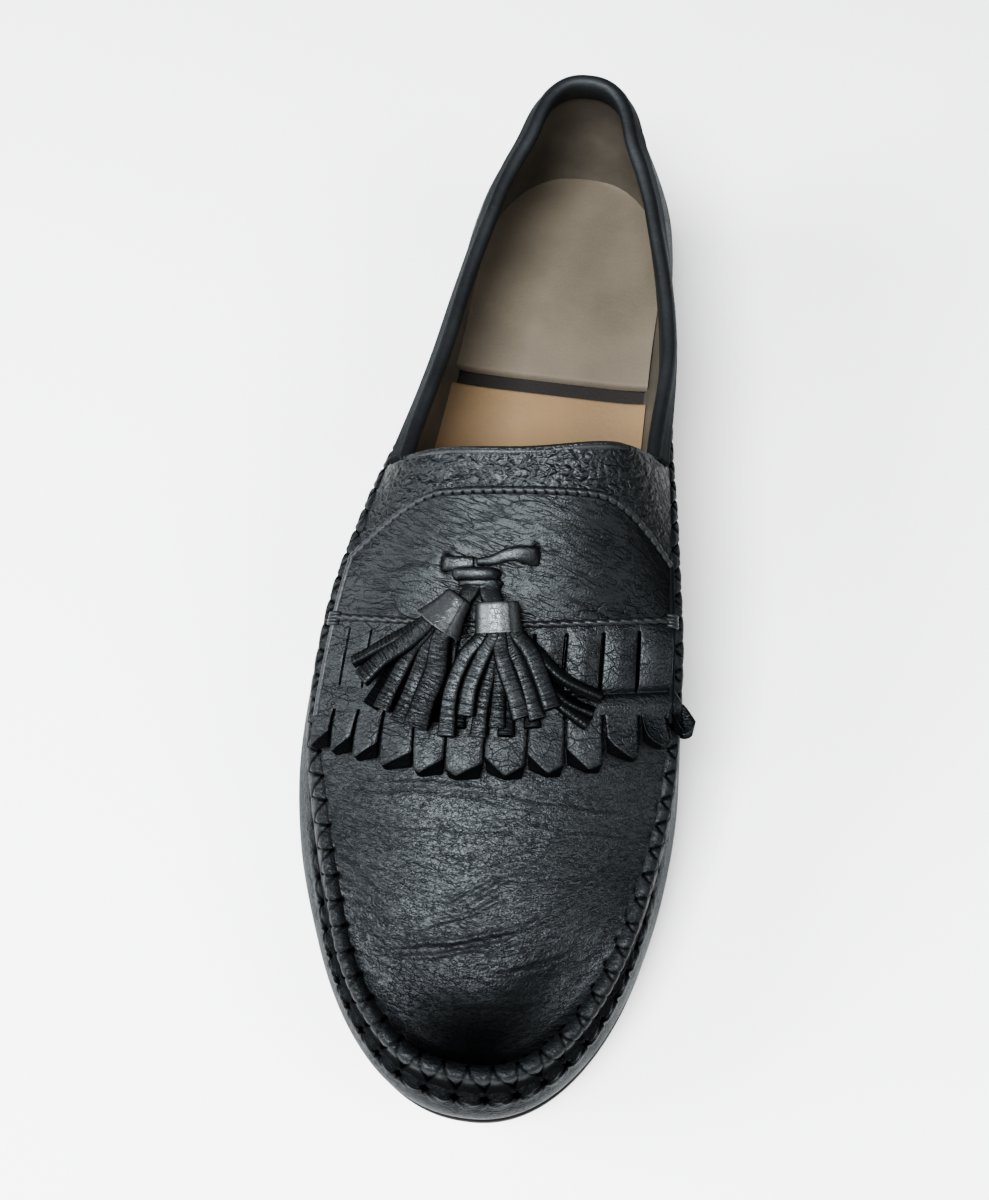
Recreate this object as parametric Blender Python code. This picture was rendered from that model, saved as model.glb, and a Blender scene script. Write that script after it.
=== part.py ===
"""Kiltie tassel loafer, the wearer's right shoe, as separate closed solids.

Frame: metres, +Z up, toe at -Y, heel at +Y, inner (big toe) side at +X, floor at Z = 0.
Sizes below are millimetres. "station" is the distance forward from the back of the heel,
"inset" is the distance inward from the edge of the outsole, "turn" is an angle that goes
once round the shoe: 0 at the heel back, pi at the toe tip, the outer side first.
"""
import bmesh
import bpy
import numpy as np

MM = 0.001
GAP = 0.3                 # air between neighbouring pieces
LENGTH = 300.0            # outsole, heel back to toe tip
COLUMNS = 45              # mesh columns from heel to toe on each side

HEEL_ROUND = 34.0         # length of the rounded heel end
HEEL_POWER = 2.2
TOE_ROUND = 92.0          # length of the rounded toe end
TOE_POWER = 2.2
THROAT_SKEW = 5.0         # the throat's outer end lies forward and its inner end back by this

SOLE_THICK = 5.0
SOLE_MARGIN = 2.2         # outsole edge out to the upper's foot
SEAT_HEIGHT = 22.0        # underside of the outsole at the heel
WAIST_START = 60.0        # station where the sole begins to come down
BALL_START = 178.0        # flat tread under the ball of the foot
BALL_END = 214.0
TOE_SPRING = 9.0
HEEL_LENGTH = 72.0
HEEL_INSET = 1.5
LIFT_THICK = 6.0
INSOLE_THICK = 3.0
INSOLE_INSET = 5.2

WALL = 2.2                # upper leather with its lining
BELLY_LEVEL = 0.45        # height share where the side wall is pulled out
BAND = 10.5               # seam to topline, or to the first row on the vamp
LACE_HALF = 3.2           # half the width of the laced seam
LACE_RISE = 1.5
BINDING_REACH = 0.6       # share of the last column that the binding covers
THROAT_SPINE = 141.3      # throat edge on the middle line
THROAT_BOW = 7.0          # rounds the throat edge in plan
SPINE_FRONT = 262.0

OVERLAY_THICK = 1.2
OVERLAY_GAP = 0.4
OVERLAY_EDGE = 3.8        # seam in to the ends of the saddle and the kiltie
TONGUES = 12
SLIT_PLACES = (0.12, 0.38, 0.61, 0.79)
SLOT_HALF = 0.010         # half a slit, as a share of the overlay's half width
FRINGE_LIFT = 2.4

CAP_LENGTH = 9.5
CAP_RADIUS = (4.6, 5.8)   # top, mouth
CAP_FLAT = 0.82
STEM_WIDTH = 3.6
STRIP_WIDTH = 4.0
STRIP_THICK = 1.7


class Table:
    """Sizes by station in named columns; at() runs a smooth cubic through a column's rows."""

    def __init__(self, columns, rows):
        self.columns = columns
        self.rows = np.array(rows, float)

    def at(self, name, station):
        knots = self.rows[:, 0]
        values = self.rows[:, self.columns.index(name)]
        slopes = np.gradient(values, knots)
        station = np.clip(station, knots[0], knots[-1])
        i = np.clip(np.searchsorted(knots, station) - 1, 0, len(knots) - 2)
        span = knots[i + 1] - knots[i]
        t = (station - knots[i])/span
        return ((2*t**3 - 3*t**2 + 1)*values[i] + (t**3 - 2*t**2 + t)*span*slopes[i]
                + (3*t**2 - 2*t**3)*values[i + 1] + (t**3 - t**2)*span*slopes[i + 1])


OUTLINE = Table(("station", "axis", "half_width"), (
    (0, 0.5, 27.0),
    (35, 0.5, 31.5),
    (75, 0.0, 32.5),
    (115, -1.5, 35.5),
    (150, -3.0, 41.5),
    (185, -2.0, 49.5),
    (212, -0.3, 52.7),
    (235, 1.5, 52.0),
    (260, 4.0, 50.0),
    (300, 7.0, 47.0)))

# The laced seam: its height, its inset and how far the wall below it is pulled out
SEAM = Table(("station", "height", "outer_inset", "inner_inset", "outer_belly", "inner_belly"), (
    (0, 72.0, 4.0, 4.0, -3.0, -3.0),
    (20, 69.0, 9.5, 9.0, -3.0, -3.0),
    (48, 64.0, 6.0, 4.0, -3.5, -4.0),
    (80, 61.0, 3.0, -1.5, -4.0, -5.5),
    (120, 63.0, 3.0, -4.0, -4.0, -6.5),
    (150, 66.0, 3.5, -4.5, -3.5, -6.0),
    (172, 62.0, 3.8, -2.5, -3.0, -5.5),
    (192, 54.5, 4.6, 0.0, -3.5, -4.5),
    (212, 47.0, 6.0, 2.4, -3.5, -3.5),
    (232, 43.0, 8.0, 4.0, -4.0, -3.5),
    (257, 40.0, 7.4, 4.8, -4.0, -3.5),
    (272, 38.6, 5.8, 5.1, -4.3, -3.8),
    (285, 37.8, 5.7, 5.6, -4.5, -4.1),
    (296, 37.2, 6.6, 7.0, -4.5, -4.4),
    (300, 37.0, 8.0, 8.0, -4.5, -4.5)))

TOPLINE = Table(("station", "height", "outer_inset", "inner_inset"), (
    (0, 80.0, 7.0, 7.0),
    (20, 77.0, 13.5, 12.5),
    (48, 72.5, 9.5, 6.5),
    (70, 69.5, 6.0, 0.5),
    (100, 69.0, 5.5, -3.5),
    (125, 72.5, 6.5, -4.0),
    (145, 77.0, 9.5, -2.0)))

# The middle line of the vamp; a high dome power makes a flat top with round shoulders
SPINE = Table(("station", "height", "dome_power"), (
    (135, 92.0, 3.2),
    (150, 84.5, 3.0),
    (175, 71.5, 2.6),
    (200, 60.5, 2.3),
    (230, 50.5, 2.1),
    (260, 43.0, 2.0),
    (280, 38.8, 2.0),
    (292, 37.0, 2.0)))

# Tassels: cap top and cap direction on the vamp, strip ends as (side, along, layer)
TASSELS = {
    "tassel_medial": {"x": -0.8, "station": 175.6, "aim": 4.0, "spread": 66.0, "length": 27.5},
    "tassel_lateral": {"x": -9.4, "station": 178.6, "aim": -42.0, "spread": 60.0, "length": 26.0}}
LOWER_STRIPS = 6
UPPER_STRIPS = 5
LACE_HOLES = ((6.7, 164.4), (-15.2, 168.8))


def smoothstep(value):
    value = np.clip(value, 0, 1)
    return value*value*(3 - 2*value)


def end_rounding(station):
    """Share of the half width left at the rounded heel and toe: two quarter superellipses."""
    back = np.clip(1 - station/HEEL_ROUND, 0, 1)
    front = np.clip((station - LENGTH + TOE_ROUND)/TOE_ROUND, 0, 1)
    return (1 - back**HEEL_POWER)**(1/HEEL_POWER)*(1 - front**TOE_POWER)**(1/TOE_POWER)


def sole_bottom(station):
    """Underside of the outsole: heel seat, down through the waist, flat tread, toe spring."""
    down = smoothstep((station - WAIST_START)/(BALL_START - WAIST_START))
    up = np.clip((station - BALL_END)/(LENGTH - BALL_END), 0, 1)
    return SEAT_HEIGHT*(1 - down) + TOE_SPRING*up**2


def split_turn(turn):
    """Angle from the heel back and the side, -1 outer or 1 inner."""
    turn = np.asarray(turn, float) % (2*np.pi)
    outer = turn <= np.pi
    return np.where(outer, turn, 2*np.pi - turn), np.where(outer, -1.0, 1.0)


def outline(turn):
    """Plan point (x, station) on the outsole's edge."""
    angle, side = split_turn(turn)
    station = LENGTH*(1 - np.cos(angle))/2 - side*THROAT_SKEW*np.sin(angle)**4
    half = OUTLINE.at("half_width", station)*end_rounding(station)
    return OUTLINE.at("axis", station) + side*half, station


def outline_frame(turn, step=0.004):
    """Plan point on the outsole's edge and the outward direction there."""
    x, station = outline(turn)
    x_back, s_back = outline(turn - step)
    x_on, s_on = outline(turn + step)
    length = np.hypot(x_on - x_back, s_on - s_back)
    return x, station, (s_back - s_on)/length, (x_on - x_back)/length


def inset_points(turn, inset, height):
    """Points moved in from the outsole's edge, at a height."""
    x, station, nx, ns = outline_frame(turn)
    return np.stack(np.broadcast_arrays(x - inset*nx, station - inset*ns, height), -1)


def sided(table, word, turn):
    """A table's outer or inner column, whichever the turn is on."""
    _, station = outline(turn)
    _, side = split_turn(turn)
    return np.where(side < 0, table.at("outer_" + word, station), table.at("inner_" + word, station))


def wall(turn, rise):
    """Side wall of the upper, rise 0 at the sole to 1 at the seam: a quadratic curve."""
    _, station = outline(turn)
    foot = sole_bottom(station) + SOLE_THICK + GAP
    top = SEAM.at("height", station)
    a, b, c = (1 - rise)**2, 2*rise*(1 - rise), rise**2
    inset = a*SOLE_MARGIN + b*sided(SEAM, "belly", turn) + c*sided(SEAM, "inset", turn)
    height = a*foot + b*(foot + BELLY_LEVEL*(top - foot)) + c*top
    return inset_points(turn, inset, height)


SEAM_TURNS = np.linspace(0, 2*np.pi, 1441)
SEAM_LINE = wall(SEAM_TURNS, np.float64(1.0))


def seam_sides(station):
    """x of the seam on the outer and the inner side."""
    outer = SEAM_LINE[:721]
    inner = SEAM_LINE[:719:-1]
    return np.interp(station, outer[:, 1], outer[:, 0]), np.interp(station, inner[:, 1], inner[:, 0])


def crown_height(x, station):
    """Height of the vamp: seam height plus a dome that is highest on the middle line."""
    left, right = seam_sides(station)
    across = np.clip(np.abs(2*x - left - right)/np.maximum(right - left, 1e-6), 0, 1)
    low = SEAM.at("height", station)
    dome = 1 - across**SPINE.at("dome_power", station)
    return low + (SPINE.at("height", station) - low)*dome


def crown_point(x, station, lift=0.0):
    """Point on the vamp, raised along the surface normal."""
    step = 0.4
    slope_x = (crown_height(x + step, station) - crown_height(x - step, station))/(2*step)
    slope_s = (crown_height(x, station + step) - crown_height(x, station - step))/(2*step)
    length = np.sqrt(slope_x**2 + slope_s**2 + 1)
    points = (x - lift*slope_x/length, station - lift*slope_s/length,
              crown_height(x, station) + lift/length)
    return np.stack(np.broadcast_arrays(*points), -1)


def across_x(share, station):
    """x on the overlays, share -1 at their outer end to 1 at their inner end."""
    left, right = seam_sides(station)
    return (left + right)/2 + share*((right - left)/2 - OVERLAY_EDGE)


def arc_line(share):
    """Station of the saddle's upper edge: level in the middle, bent forward at both ends."""
    return 151.4 - 4*share + 13*np.clip((np.abs(share) - 0.5)/0.5, 0, 1)**1.8


def kiltie_line(share):
    return 182.3 - 5*share - 4.5*share**2


def fringe_line(share):
    return 218.0 - 5*share - 8*share**2


def fringe_lift(share, station):
    """Height of the kiltie's underside above the vamp; its free edge stands off."""
    along = (station - kiltie_line(share))/(fringe_line(share) - kiltie_line(share))
    return OVERLAY_GAP + FRINGE_LIFT*smoothstep(along)**1.5


def roof(x, station):
    """Top of the saddle or the kiltie above the vamp."""
    left, right = seam_sides(station)
    share = np.clip((2*x - left - right)/(right - left - 2*OVERLAY_EDGE), -1, 1)
    return fringe_lift(share, station) + OVERLAY_THICK


def mesh_object(name, points, faces, colour, roughness, merge=0.0):
    """Object with its own material from points in millimetres (x, station, height)."""
    points = np.asarray(points, float).reshape(-1, 3)
    world = np.stack([points[:, 0], LENGTH/2 - points[:, 1], points[:, 2]], 1)*MM
    mesh = bpy.data.meshes.new(name)
    mesh.from_pydata(world.tolist(), [], faces)
    work = bmesh.new()
    work.from_mesh(mesh)
    bmesh.ops.remove_doubles(work, verts=work.verts, dist=merge*MM + 1e-7)
    loose = [vertex for vertex in work.verts if not vertex.link_faces]
    bmesh.ops.delete(work, geom=loose, context="VERTS")
    if not any(edge.is_boundary for edge in work.edges):
        bmesh.ops.recalc_face_normals(work, faces=work.faces)
    work.to_mesh(mesh)
    work.free()
    obj = bpy.data.objects.new(name, mesh)
    bpy.context.scene.collection.objects.link(obj)
    material = bpy.data.materials.new(name)
    material.use_nodes = True
    shader = material.node_tree.nodes["Principled BSDF"]
    shader.inputs["Base Color"].default_value = (*colour, 1.0)
    shader.inputs["Roughness"].default_value = roughness
    mesh.materials.append(material)
    return obj


def quads(rows, columns, wrap, keep=None):
    """Faces of a grid of points, row after row; keep leaves cells out."""
    faces = []
    for r in range(rows - 1):
        for c in range(columns if wrap else columns - 1):
            if keep is None or keep[r][c]:
                d = (c + 1) % columns
                faces.append((r*columns + c, r*columns + d, (r + 1)*columns + d, (r + 1)*columns + c))
    return faces


def block(name, levels, colour, roughness):
    """Solid from equal closed outlines, bottom to top, capped by strips across the shoe."""
    levels = np.asarray(levels)
    count, size = levels.shape[:2]
    faces = quads(count, size, True)
    for first in (0, (count - 1)*size):
        for i in range(size//2):
            far = size - i
            faces.append((first + i, first + i + 1, first + (far - 1) % size, first + far % size))
    tidy = [tuple(dict.fromkeys(face)) for face in faces]
    return mesh_object(name, levels, [face for face in tidy if len(face) > 2], colour, roughness)


def sweep(name, rings, closed, colour, roughness):
    """Solid from equal cross-section rings along a path, closed on itself or capped."""
    rings = np.asarray(rings)
    count, size = rings.shape[:2]
    faces = []
    for r in range(count if closed else count - 1):
        n = (r + 1) % count
        for c in range(size):
            d = (c + 1) % size
            faces.append((r*size + c, r*size + d, n*size + d, n*size + c))
    if not closed:
        faces.append(tuple(range(size)))
        faces.append(tuple(range((count - 1)*size, count*size)))
    return mesh_object(name, rings, faces, colour, roughness)


def slab(name, lower, upper, keep, colour, roughness):
    """Solid between two equal grids, with walls round every kept region."""
    rows, columns = lower.shape[:2]
    top = quads(rows, columns, False, keep)
    edges = {}
    for face in top:
        for a, b in zip(face, face[1:] + face[:1]):
            edges[(a, b)] = edges.get((b, a), 0) + 1
            if (b, a) in edges:
                edges[(b, a)] += 1
    shift = rows*columns
    faces = list(top)
    faces += [tuple(i + shift for i in reversed(face)) for face in top]
    outline_edges = [pair for pair in edges if (pair[1], pair[0]) not in edges]
    faces += [(b, a, a + shift, b + shift) for a, b in outline_edges]
    return mesh_object(name, np.concatenate([upper.reshape(-1, 3), lower.reshape(-1, 3)]), faces,
                       colour, roughness)


def fuse(base, pieces):
    """One solid from a base and the pieces that run into it."""
    group = bpy.data.collections.new(base.name + "_strips")
    bpy.context.scene.collection.children.link(group)
    for piece in pieces:
        bpy.context.scene.collection.objects.unlink(piece)
        group.objects.link(piece)
        piece.hide_render = True
        piece.display_type = "WIRE"
    union = base.modifiers.new("fused strips", "BOOLEAN")
    union.operation = "UNION"
    union.operand_type = "COLLECTION"
    union.collection = group
    union.solver = "EXACT"


def make_outsole(turns):
    _, station = outline(turns)
    bottom = sole_bottom(station)
    levels = [inset_points(turns, inset, bottom + share*SOLE_THICK)
              for inset, share in ((1.0, 0.0), (0.0, 0.3), (0.0, 0.75), (0.5, 1.0))]
    for level, share in zip(levels, (0.0, 0.3, 0.75, 1.0)):
        level[:, 2] = sole_bottom(level[:, 1]) + share*SOLE_THICK
    block("outsole", levels, (0.35, 0.2, 0.1), 0.6)


def make_heel():
    """Stacked heel and its top lift: the outsole's outline back of a straight breast."""
    angle = np.linspace(0, np.pi/2, 15)
    side_station = HEEL_INSET + (HEEL_LENGTH - HEEL_INSET)*(1 - np.cos(angle))
    reach = LENGTH/(LENGTH + 2*HEEL_INSET)
    half = OUTLINE.at("half_width", side_station)*end_rounding((side_station - HEEL_INSET)*reach)
    half = half*(1 - HEEL_INSET/OUTLINE.rows[0, 2])
    axis = OUTLINE.at("axis", side_station)
    outer = np.stack([axis - half, side_station], 1)
    inner = np.stack([axis + half, side_station], 1)[:0:-1]
    ring = np.concatenate([outer, inner])
    middle = np.array([OUTLINE.rows[0, 1], HEEL_LENGTH/2])

    def level(height, taper):
        plan = middle + (ring - middle)*taper
        return np.column_stack([plan, np.broadcast_to(height, len(plan))])

    seat = level(0.0, 1.0)
    seat[:, 2] = sole_bottom(seat[:, 1]) - GAP
    stack = [level(LIFT_THICK + GAP, 0.975), seat]
    block("heel", stack, (0.03, 0.03, 0.03), 0.4)
    lift = [level(0.0, 0.962), level(1.0, 0.972), level(LIFT_THICK, 0.975)]
    block("heel_lift", lift, (0.02, 0.02, 0.02), 0.7)


def make_insole(turns):
    levels = []
    for inset, rise in ((INSOLE_INSET, 0.0), (INSOLE_INSET - 0.6, INSOLE_THICK)):
        level = inset_points(turns, inset, 0.0)
        level[:, 2] = sole_bottom(level[:, 1]) + SOLE_THICK + GAP + rise
        levels.append(level)
    block("insole", levels, (0.55, 0.45, 0.33), 0.7)


def along(profile, distance):
    """Share of each profile, columns by samples, at a distance from its start."""
    steps = np.linalg.norm(np.diff(profile, axis=1), axis=2)
    run = np.concatenate([np.zeros((len(steps), 1)), np.cumsum(steps, axis=1)], axis=1)
    shares = np.linspace(0, 1, profile.shape[1])
    return np.array([np.interp(distance, line, shares) for line in run])


def upper_rows(turns):
    """Rows of the upper's outer face from the sole up, and which columns belong to the vamp."""
    seam = wall(turns, np.float64(1.0))
    below = wall(turns, 1 - LACE_HALF/(2*np.linalg.norm(seam - wall(turns, 0.5), axis=1)))
    rows = [wall(turns, np.float64(rise)) for rise in (0.0, 0.16, 0.34, 0.52, 0.70)] + [below, seam]

    angle, _ = split_turn(turns)
    even = LENGTH*(1 - np.cos(angle))/2
    throat = even[21]
    vamp = even >= throat - 1e-6
    share = np.clip((even - throat)/(LENGTH - throat), 0, 1)
    spine_station = THROAT_SPINE + share*(SPINE_FRONT - THROAT_SPINE)
    left, right = seam_sides(spine_station)
    spine = np.stack([(left + right)/2, spine_station], 1)

    def crown(part):
        """Point on each column, part 0 at the seam to 1 on the middle line."""
        plan = seam[:, :2] + np.asarray(part)[:, None]*(spine - seam[:, :2])
        plan[:, 1] += THROAT_BOW*part*(1 - part)*(1 - share)
        return np.column_stack([plan, crown_height(plan[:, 0], plan[:, 1])])

    ones = np.ones(len(turns))
    profile = np.stack([crown(part*ones) for part in np.linspace(0, 1, 81)], 1)
    near = along(profile, LACE_HALF)
    start = along(profile, BAND)

    top = inset_points(turns, sided(TOPLINE, "inset", turns), TOPLINE.at("height", outline(turns)[1]))
    meet = crown(start)
    for corner in (21, len(turns) - 21):
        _, station = outline(turns)
        same_side = split_turn(turns)[1] == split_turn(turns)[1][corner]
        fade = smoothstep(1 - (station[corner] - station)/40)*same_side
        top = top + fade[:, None]*(meet[corner] - top[corner])
    first = seam + (top - seam)*(LACE_HALF/np.linalg.norm(top - seam, axis=1))[:, None]
    rows.append(np.where(vamp[:, None], crown(near), first))
    rows.append(np.where(vamp[:, None], meet, top))
    for part in np.linspace(0, 1, 7)[1:]:
        rows.append(crown(start + (1 - start)*part))
    return np.array(rows), vamp


def grid_normals(rows, vamp):
    """Outward unit normals of the grid of rows, wrapped round the shoe."""
    round_shoe = np.roll(rows, -1, axis=1) - np.roll(rows, 1, axis=1)
    upward = np.gradient(rows, axis=0)
    upward[8] = np.where(vamp[:, None], upward[8], rows[8] - rows[7])
    # stations run against +Y, so the product is turned round
    normal = np.cross(upward, round_shoe)
    return normal/np.maximum(np.linalg.norm(normal, axis=2, keepdims=True), 1e-9)


def make_upper(rows, vamp):
    count, size = rows.shape[:2]
    both = vamp & np.roll(vamp, -1)
    keep = [[True]*size if r < 8 else both.tolist() for r in range(count - 1)]
    obj = mesh_object("upper", rows, quads(count, size, True, keep), (0.02, 0.02, 0.022), 0.45, 0.05)
    shell = obj.modifiers.new("leather wall", "SOLIDIFY")
    shell.thickness = WALL*MM
    shell.offset = -1.0
    shell.use_even_offset = True
    shell.use_quality_normals = True


def make_lacing(rows, normals):
    """Laced seam: a low bead over the ridge, seated on the upper's own rows."""
    low, ridge, high = (rows[i] for i in (5, 6, 7))
    low_n, ridge_n, high_n = (normals[i] for i in (5, 6, 7))

    def between(share, lift):
        a, b = (low, ridge) if share < 0 else (high, ridge)
        a_n, b_n = (low_n, ridge_n) if share < 0 else (high_n, ridge_n)
        t = abs(share)
        return b + (a - b)*t + (b_n + (a_n - b_n)*t)*lift

    floor = OVERLAY_GAP
    ring = [between(-1, floor), between(0, floor + 0.15), between(1, floor),
            between(0.95, floor + 0.7), between(0.5, floor + 0.8*LACE_RISE),
            between(0, floor + LACE_RISE), between(-0.5, floor + 0.8*LACE_RISE),
            between(-0.95, floor + 0.7)]
    sweep("seam_lacing", np.stack(ring, 1), True, (0.015, 0.015, 0.017), 0.5)


def make_binding(rows, normals, vamp):
    """Rolled binding on the topline, from the throat's inner end round the heel to its outer end."""
    index = np.arange(len(vamp))
    inner = index[~vamp & (index > COLUMNS)]
    outer = index[~vamp & (index < COLUMNS)]
    order = np.concatenate([inner[:1], inner, outer, outer[-1:]])
    corner = np.concatenate([inner[:1] - 1, inner, outer, outer[-1:] + 1])
    rim = rows[8][order] + BINDING_REACH*(rows[8][corner] - rows[8][order])
    out = normals[8][order]
    up = rows[8][order] - rows[7][order]
    up = up/np.linalg.norm(up, axis=1, keepdims=True)
    section = ((-3.4, 0.35), (1.2, 0.35), (1.3, 1.4), (0.4, 2.6), (-1.1, 3.2), (-2.6, 2.6), (-3.5, 1.4))
    rings = np.stack([rim + out*a + up*b for a, b in section], 1)
    sweep("topline_binding", rings, False, (0.015, 0.015, 0.017), 0.4)


def make_saddle():
    share = np.linspace(-1, 1, 25)
    grid_share = np.repeat(share[None, :], 6, axis=0)
    part = np.linspace(0, 1, 6)[:, None]
    station = arc_line(grid_share) + part*(kiltie_line(grid_share) - OVERLAY_GAP - arc_line(grid_share))
    x = across_x(grid_share, station)
    slab("saddle", crown_point(x, station, OVERLAY_GAP),
         crown_point(x, station, OVERLAY_GAP + OVERLAY_THICK), None, (0.02, 0.02, 0.022), 0.45)


def make_kiltie():
    """Fringed tongue: a slit upper band, a plain strip and a row of pointed tongues."""
    gaps = np.linspace(-1, 1, TONGUES + 1)[1:-1]
    middles = (np.arange(TONGUES) + 0.5)*2/TONGUES - 1
    slits = np.array([side*place for place in SLIT_PLACES for side in (-1, 1)])
    columns = [(-1.0, 0), (1.0, 0)]
    columns += [(middle, 0) for middle in middles]
    columns += [(gap + side*SLOT_HALF, side) for gap in gaps for side in (-1, 1)]
    columns += [(slit + side*SLOT_HALF, 0) for slit in slits for side in (-1, 1)]
    share = np.array(sorted(place for place, _ in columns))
    centre = (share[1:] + share[:-1])/2
    in_slit = np.min(np.abs(centre[:, None] - slits[None, :]), axis=1) < SLOT_HALF
    in_gap = np.min(np.abs(centre[:, None] - gaps[None, :]), axis=1) < SLOT_HALF

    top, tip = kiltie_line(share), fringe_line(share)
    cut = 201.5 - 5*share - 3*share**2
    tongue = np.clip(((share + 1)*TONGUES/2).astype(int), 0, TONGUES - 1)
    off_centre = np.abs(share - middles[tongue])*TONGUES
    stations = np.array([top, top + 2.4, top + 13.8, cut, (cut + tip)/2, tip - 3.6, tip - 0.8*off_centre])
    shares = np.repeat(share[None, :], len(stations), axis=0)
    shares[-1] = middles[tongue] + 0.45*(share - middles[tongue])
    keep = np.ones((len(stations) - 1, len(share) - 1), bool)
    keep[1, in_slit] = False
    keep[3:, in_gap] = False
    x = across_x(shares, stations)
    lift = fringe_lift(shares, stations)
    slab("kiltie", crown_point(x, stations, lift), crown_point(x, stations, lift + OVERLAY_THICK),
         keep, (0.02, 0.02, 0.022), 0.5)


def bar_rings(path, side, width, thick):
    """Rectangular rings along a path; side points across each ring."""
    ahead = np.gradient(path, axis=0)
    ahead = ahead/np.linalg.norm(ahead, axis=1, keepdims=True)
    side = side - ahead*np.sum(side*ahead, axis=1, keepdims=True)
    side = side/np.linalg.norm(side, axis=1, keepdims=True)
    up = np.cross(side, ahead)
    width = np.asarray(width)[..., None]/2
    corners = ((-1, -1), (1, -1), (1, 1), (-1, 1))
    return np.stack([path + side*a*width + up*b*thick/2 for a, b in corners], 1)


def make_tassel(name, place):
    """Leather cap with two layers of strips that fan out over the kiltie."""
    aim = np.radians(place["aim"])
    ahead = np.array([np.sin(aim), np.cos(aim)])
    across = np.array([np.cos(aim), -np.sin(aim)])
    head = np.array([place["x"], place["station"]])
    middle = OVERLAY_GAP + CAP_FLAT*CAP_RADIUS[1] + 0.5

    def over(plan, lift):
        return crown_point(plan[:, 0], plan[:, 1], roof(plan[:, 0], plan[:, 1]) + lift)

    run = np.array([0.0, 0.06, 0.5, 0.94, 1.0])
    axis = over(head + run[:, None]*CAP_LENGTH*ahead, middle)
    up = over(head + run[:, None]*CAP_LENGTH*ahead, middle + 1.0) - axis
    radius = CAP_RADIUS[0] + (CAP_RADIUS[1] - CAP_RADIUS[0])*run - np.array([0.8, 0, 0, 0, 0.5])
    angle = np.linspace(0, 2*np.pi, 17)[:-1]
    side = np.append(across, 0.0)
    rings = (axis[:, None] + radius[:, None, None]*np.cos(angle)[None, :, None]*side
             + CAP_FLAT*radius[:, None, None]*np.sin(angle)[None, :, None]*up[:, None])
    cap = sweep(name, rings, False, (0.02, 0.02, 0.022), 0.45)

    strips = []
    for layer, count in enumerate((LOWER_STRIPS, UPPER_STRIPS)):
        for i in range(count):
            fan = (i + 0.5)/count*2 - 1
            turn = aim + np.radians(place["spread"])/2*fan
            reach = place["length"]*(1 - 0.10*fan**2 - 0.06*layer)
            root = head + ahead*(CAP_LENGTH*0.55) + across*fan*CAP_RADIUS[1]*0.62
            end = head + ahead*CAP_LENGTH + across*fan*5.0
            end = end + reach*np.array([np.sin(turn), np.cos(turn)])
            part = np.linspace(0, 1, 6)[:, None]
            plan = root + part*(end - root)
            low = 0.5 + STRIP_THICK/2 + layer*(STRIP_THICK + 0.25)
            lift = low + (middle + (layer - 0.5)*2.4 - low)*(1 - smoothstep(part[:, 0]*2.2))
            path = over(plan, lift)
            turned = np.stack([np.cos(turn)*np.ones(6), -np.sin(turn)*np.ones(6), np.zeros(6)], 1)
            width = STRIP_WIDTH*(0.72 + 0.28*part[:, 0])
            strips.append(sweep(name + "_strip", bar_rings(path, turned, width, STRIP_THICK), False,
                                (0.02, 0.02, 0.022), 0.45))
    fuse(cap, strips)


def make_tassel_lace():
    """Flat lace between its two holes in the saddle, with the loop that holds both tassels."""
    right, left = np.array(LACE_HOLES)
    part = np.linspace(0, 1, 9)[:, None]
    plan = right + part*(left - right)
    lift = 0.5 + 1.0 + 1.0*np.sin(np.pi*part[:, 0])
    path = crown_point(plan[:, 0], plan[:, 1], roof(plan[:, 0], plan[:, 1]) + lift)
    bar = sweep("tassel_lace", bar_rings(path, np.tile((0.2, 1.0, -0.5), (9, 1)), np.full(9, 5.0), 2.0),
                False, (0.02, 0.02, 0.022), 0.5)
    stems = []
    for name, bar_share in (("tassel_medial", 0.36), ("tassel_lateral", 0.56)):
        start = right + bar_share*(left - right)
        place = TASSELS[name]
        aim = np.radians(place["aim"])
        ahead = np.array([np.sin(aim), np.cos(aim)])
        end = np.array([place["x"], place["station"]]) - 1.0*ahead
        part = np.linspace(0, 1, 6)[:, None]
        plan = (1 - part)**2*start + 2*part*(1 - part)*(end - 2.5*ahead) + part**2*end
        lift = 2.6 + (OVERLAY_GAP + CAP_FLAT*CAP_RADIUS[1] + 0.5 - 2.6)*smoothstep(part[:, 0])
        path = crown_point(plan[:, 0], plan[:, 1], roof(plan[:, 0], plan[:, 1]) + lift)
        side = np.tile((np.cos(aim), -np.sin(aim), 0.0), (6, 1))
        rings = bar_rings(path, side, np.full(6, STEM_WIDTH), 2.6)
        stems.append(sweep(name + "_stem", rings, False, (0.02, 0.02, 0.022), 0.5))
    fuse(bar, stems)


for item in list(bpy.data.objects):
    bpy.data.objects.remove(item, do_unlink=True)

all_turns = np.arange(2*COLUMNS)*np.pi/COLUMNS
make_outsole(all_turns)
make_heel()
make_insole(all_turns)
upper_grid, vamp_columns = upper_rows(all_turns)
upper_normals = grid_normals(upper_grid, vamp_columns)
make_upper(upper_grid, vamp_columns)
make_lacing(upper_grid, upper_normals)
make_binding(upper_grid, upper_normals, vamp_columns)
make_saddle()
make_kiltie()
make_tassel_lace()
for tassel_name, tassel_place in TASSELS.items():
    make_tassel(tassel_name, tassel_place)
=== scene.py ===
# %% [markdown]
# # A kiltie tassel loafer
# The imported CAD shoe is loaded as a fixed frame, and each solid is replaced by a finer piece that
# keeps its form: leather panels, a laced seam, a bound collar, a fringed kiltie and two tassels.
# Sizes are in millimetres along three shoe directions: x across (inner side positive), "station"
# forward from the back of the heel, and height over the floor.

import bpy
import numpy as np
from mathutils import Matrix, Vector


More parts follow.
